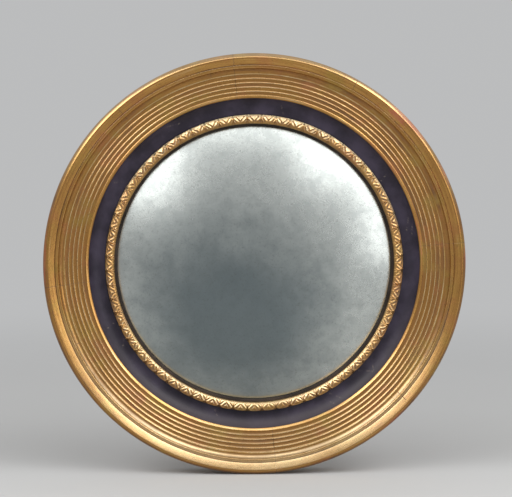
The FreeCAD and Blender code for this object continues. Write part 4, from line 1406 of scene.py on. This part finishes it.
class MIRROR_OT_stage(bpy.types.Operator):
    """Lays a pale floor, sets soft lights and the camera."""

    bl_idname = "convex_mirror.stage"
    bl_label = "Stage"

    # A bank of soft boxes in an arc over the camera: how far round from 3 o'clock and how far off
    # the mirror's axis each one stands, in degrees, its side in metres and its power in watts.
    lamps = (
        ("right_softbox", 12, 50, 1.25, 9.4),
        ("upper_right_softbox", 50, 45, 1.25, 11.0),
        ("top_softbox", 92, 48, 1.25, 10.0),
        ("upper_left_softbox", 141, 45, 1.25, 10.4),
        ("overhead_right_softbox", 48, 64, 1.5, 25.0),
        ("overhead_left_softbox", 134, 64, 1.5, 23.0),
    )
    lamp_distance = 2.6
    lamp_depth = 0.05  # of the point that the lamps face
    camera_depth = 0.066  # of the point that the camera faces
    floor_reach = 30.0
    floor_fade = (0.5, 2.2)  # distances between which the floor takes the world's tone
    clip_start = 0.05

    def execute(self, context):
        look = settings().stage
        scene = context.scene
        scene.view_settings.view_transform = "Standard"
        self.floor(scene, look)
        world = bpy.data.worlds.new("even_light")
        world.use_nodes = True
        world.node_tree.nodes["Background"].inputs[0].default_value = (*look.sky, 1.0)
        scene.world = world
        for name, around, off_axis, side, power in self.lamps:
            data = bpy.data.lights.new(name, "AREA")
            data.shape = "SQUARE"
            data.size = side
            data.energy = power
            around, off_axis = math.radians(around), math.radians(off_axis)
            across = self.lamp_distance * math.sin(off_axis)
            depth = self.lamp_distance * math.cos(off_axis)
            place = (across * math.cos(around), -depth, across * math.sin(around))
            self.stand(scene, name, data, place, (0, -self.lamp_depth, 0))
        self.camera(scene, look)
        return {"FINISHED"}

    @staticmethod
    def stand(scene, name, data, place, target):
        """A lamp or camera at a place, turned to face a target."""
        piece = bpy.data.objects.new(name, data)
        piece.location = place
        facing = Vector(target) - piece.location
        piece.rotation_euler = facing.to_track_quat("-Z", "Y").to_euler()
        scene.collection.objects.link(piece)
        return piece

    def floor(self, scene, look):
        """A wide flat sheet just under the frame. Far away it takes the world's own tone."""
        lowest = max(reach(f"moulding_{name}").outer for name in QUARTERS)
        half, level = self.floor_reach, -(lowest + 0.5 * MM)
        corners = [(x * half, y * half, level) for x, y in ((-1, -1), (1, -1), (1, 1), (-1, 1))]
        mesh = bpy.data.meshes.new("floor")
        mesh.from_pydata(corners, [], [(0, 1, 2, 3)])
        sheet = bpy.data.objects.new("floor", mesh)
        scene.collection.objects.link(sheet)
        finish = Finish("pale_floor")
        mottle = finish.noise(finish.place(), 3.0, 3.0, 0.5)
        tone = finish.blend(mottle, tinted(look.floor, 0.97), tinted(look.floor, 1.03))
        finish.set(Base_Color=tone, Roughness=0.8, Specular_IOR_Level=0.2)
        away = finish.level(finish.vector("LENGTH", finish.place()), *self.floor_fade)
        path = finish.add("LightPath").outputs
        seen = finish.most(path["Is Camera Ray"], path["Is Glossy Ray"])
        seen = finish.most(seen, path["Is Transmission Ray"])
        glow = finish.add("Emission", {"Color": tuple(look.sky), "Strength": 1.0}).outputs[0]
        layers = {0: finish.times(away, seen), 1: finish.shader.outputs[0], 2: glow}
        finish.put(finish.output.inputs[0], finish.add("MixShader", layers).outputs[0])
        mesh.materials.append(finish.material)

    def camera(self, scene, look):
        """The camera in front of the mirror, turned to the aim."""
        data = bpy.data.cameras.new("camera")
        data.lens = look.lens
        data.clip_start = self.clip_start
        flat = look.distance * math.cos(look.elevation)
        up = look.distance * math.sin(look.elevation)
        place = (flat * math.sin(look.azimuth), -flat * math.cos(look.azimuth), up)
        aim = (look.aim_across, -self.camera_depth, look.aim_up)
        scene.camera = self.stand(scene, "camera", data, place, aim)


OPERATORS = (
    MIRROR_OT_stage,
    MIRROR_OT_moulding,
    MIRROR_OT_cove,
    MIRROR_OT_slip,
    MIRROR_OT_leaves,
    MIRROR_OT_plate,
    MIRROR_OT_carcase,
    MIRROR_OT_backboard,
    MIRROR_OT_fittings,
)
GROUPS = (MouldingSizes, OrnamentSizes, GiltColours, OtherColours, StageSettings, MirrorSettings)


class MIRROR_PT_panel(bpy.types.Panel):
    """Lists the sizes and colours, and the operators in the order in which they run."""

    bl_label = "Convex mirror"
    bl_idname = "MIRROR_PT_panel"
    bl_space_type = "VIEW_3D"
    bl_region_type = "UI"
    bl_category = "Mirror"

    def draw(self, context):
        layout = self.layout
        for operator in OPERATORS:
            layout.operator(operator.bl_idname)
        for title in ("moulding", "ornament", "gilt", "other", "stage"):
            box = layout.box()
            box.label(text=title.capitalize())
            group = getattr(context.scene.convex_mirror, title)
            for name in group.__annotations__:
                box.prop(group, name)


def register():
    for item in (*GROUPS, *OPERATORS, MIRROR_PT_panel):
        bpy.utils.register_class(item)
    bpy.types.Scene.convex_mirror = PointerProperty(type=MirrorSettings)


def unregister():
    del bpy.types.Scene.convex_mirror
    for item in reversed((*GROUPS, *OPERATORS, MIRROR_PT_panel)):
        bpy.utils.unregister_class(item)


def main():
    register()
    for operator in OPERATORS:
        group, name = operator.bl_idname.split(".")
        getattr(getattr(bpy.ops, group), name)()


if __name__ == "__main__":
    main()
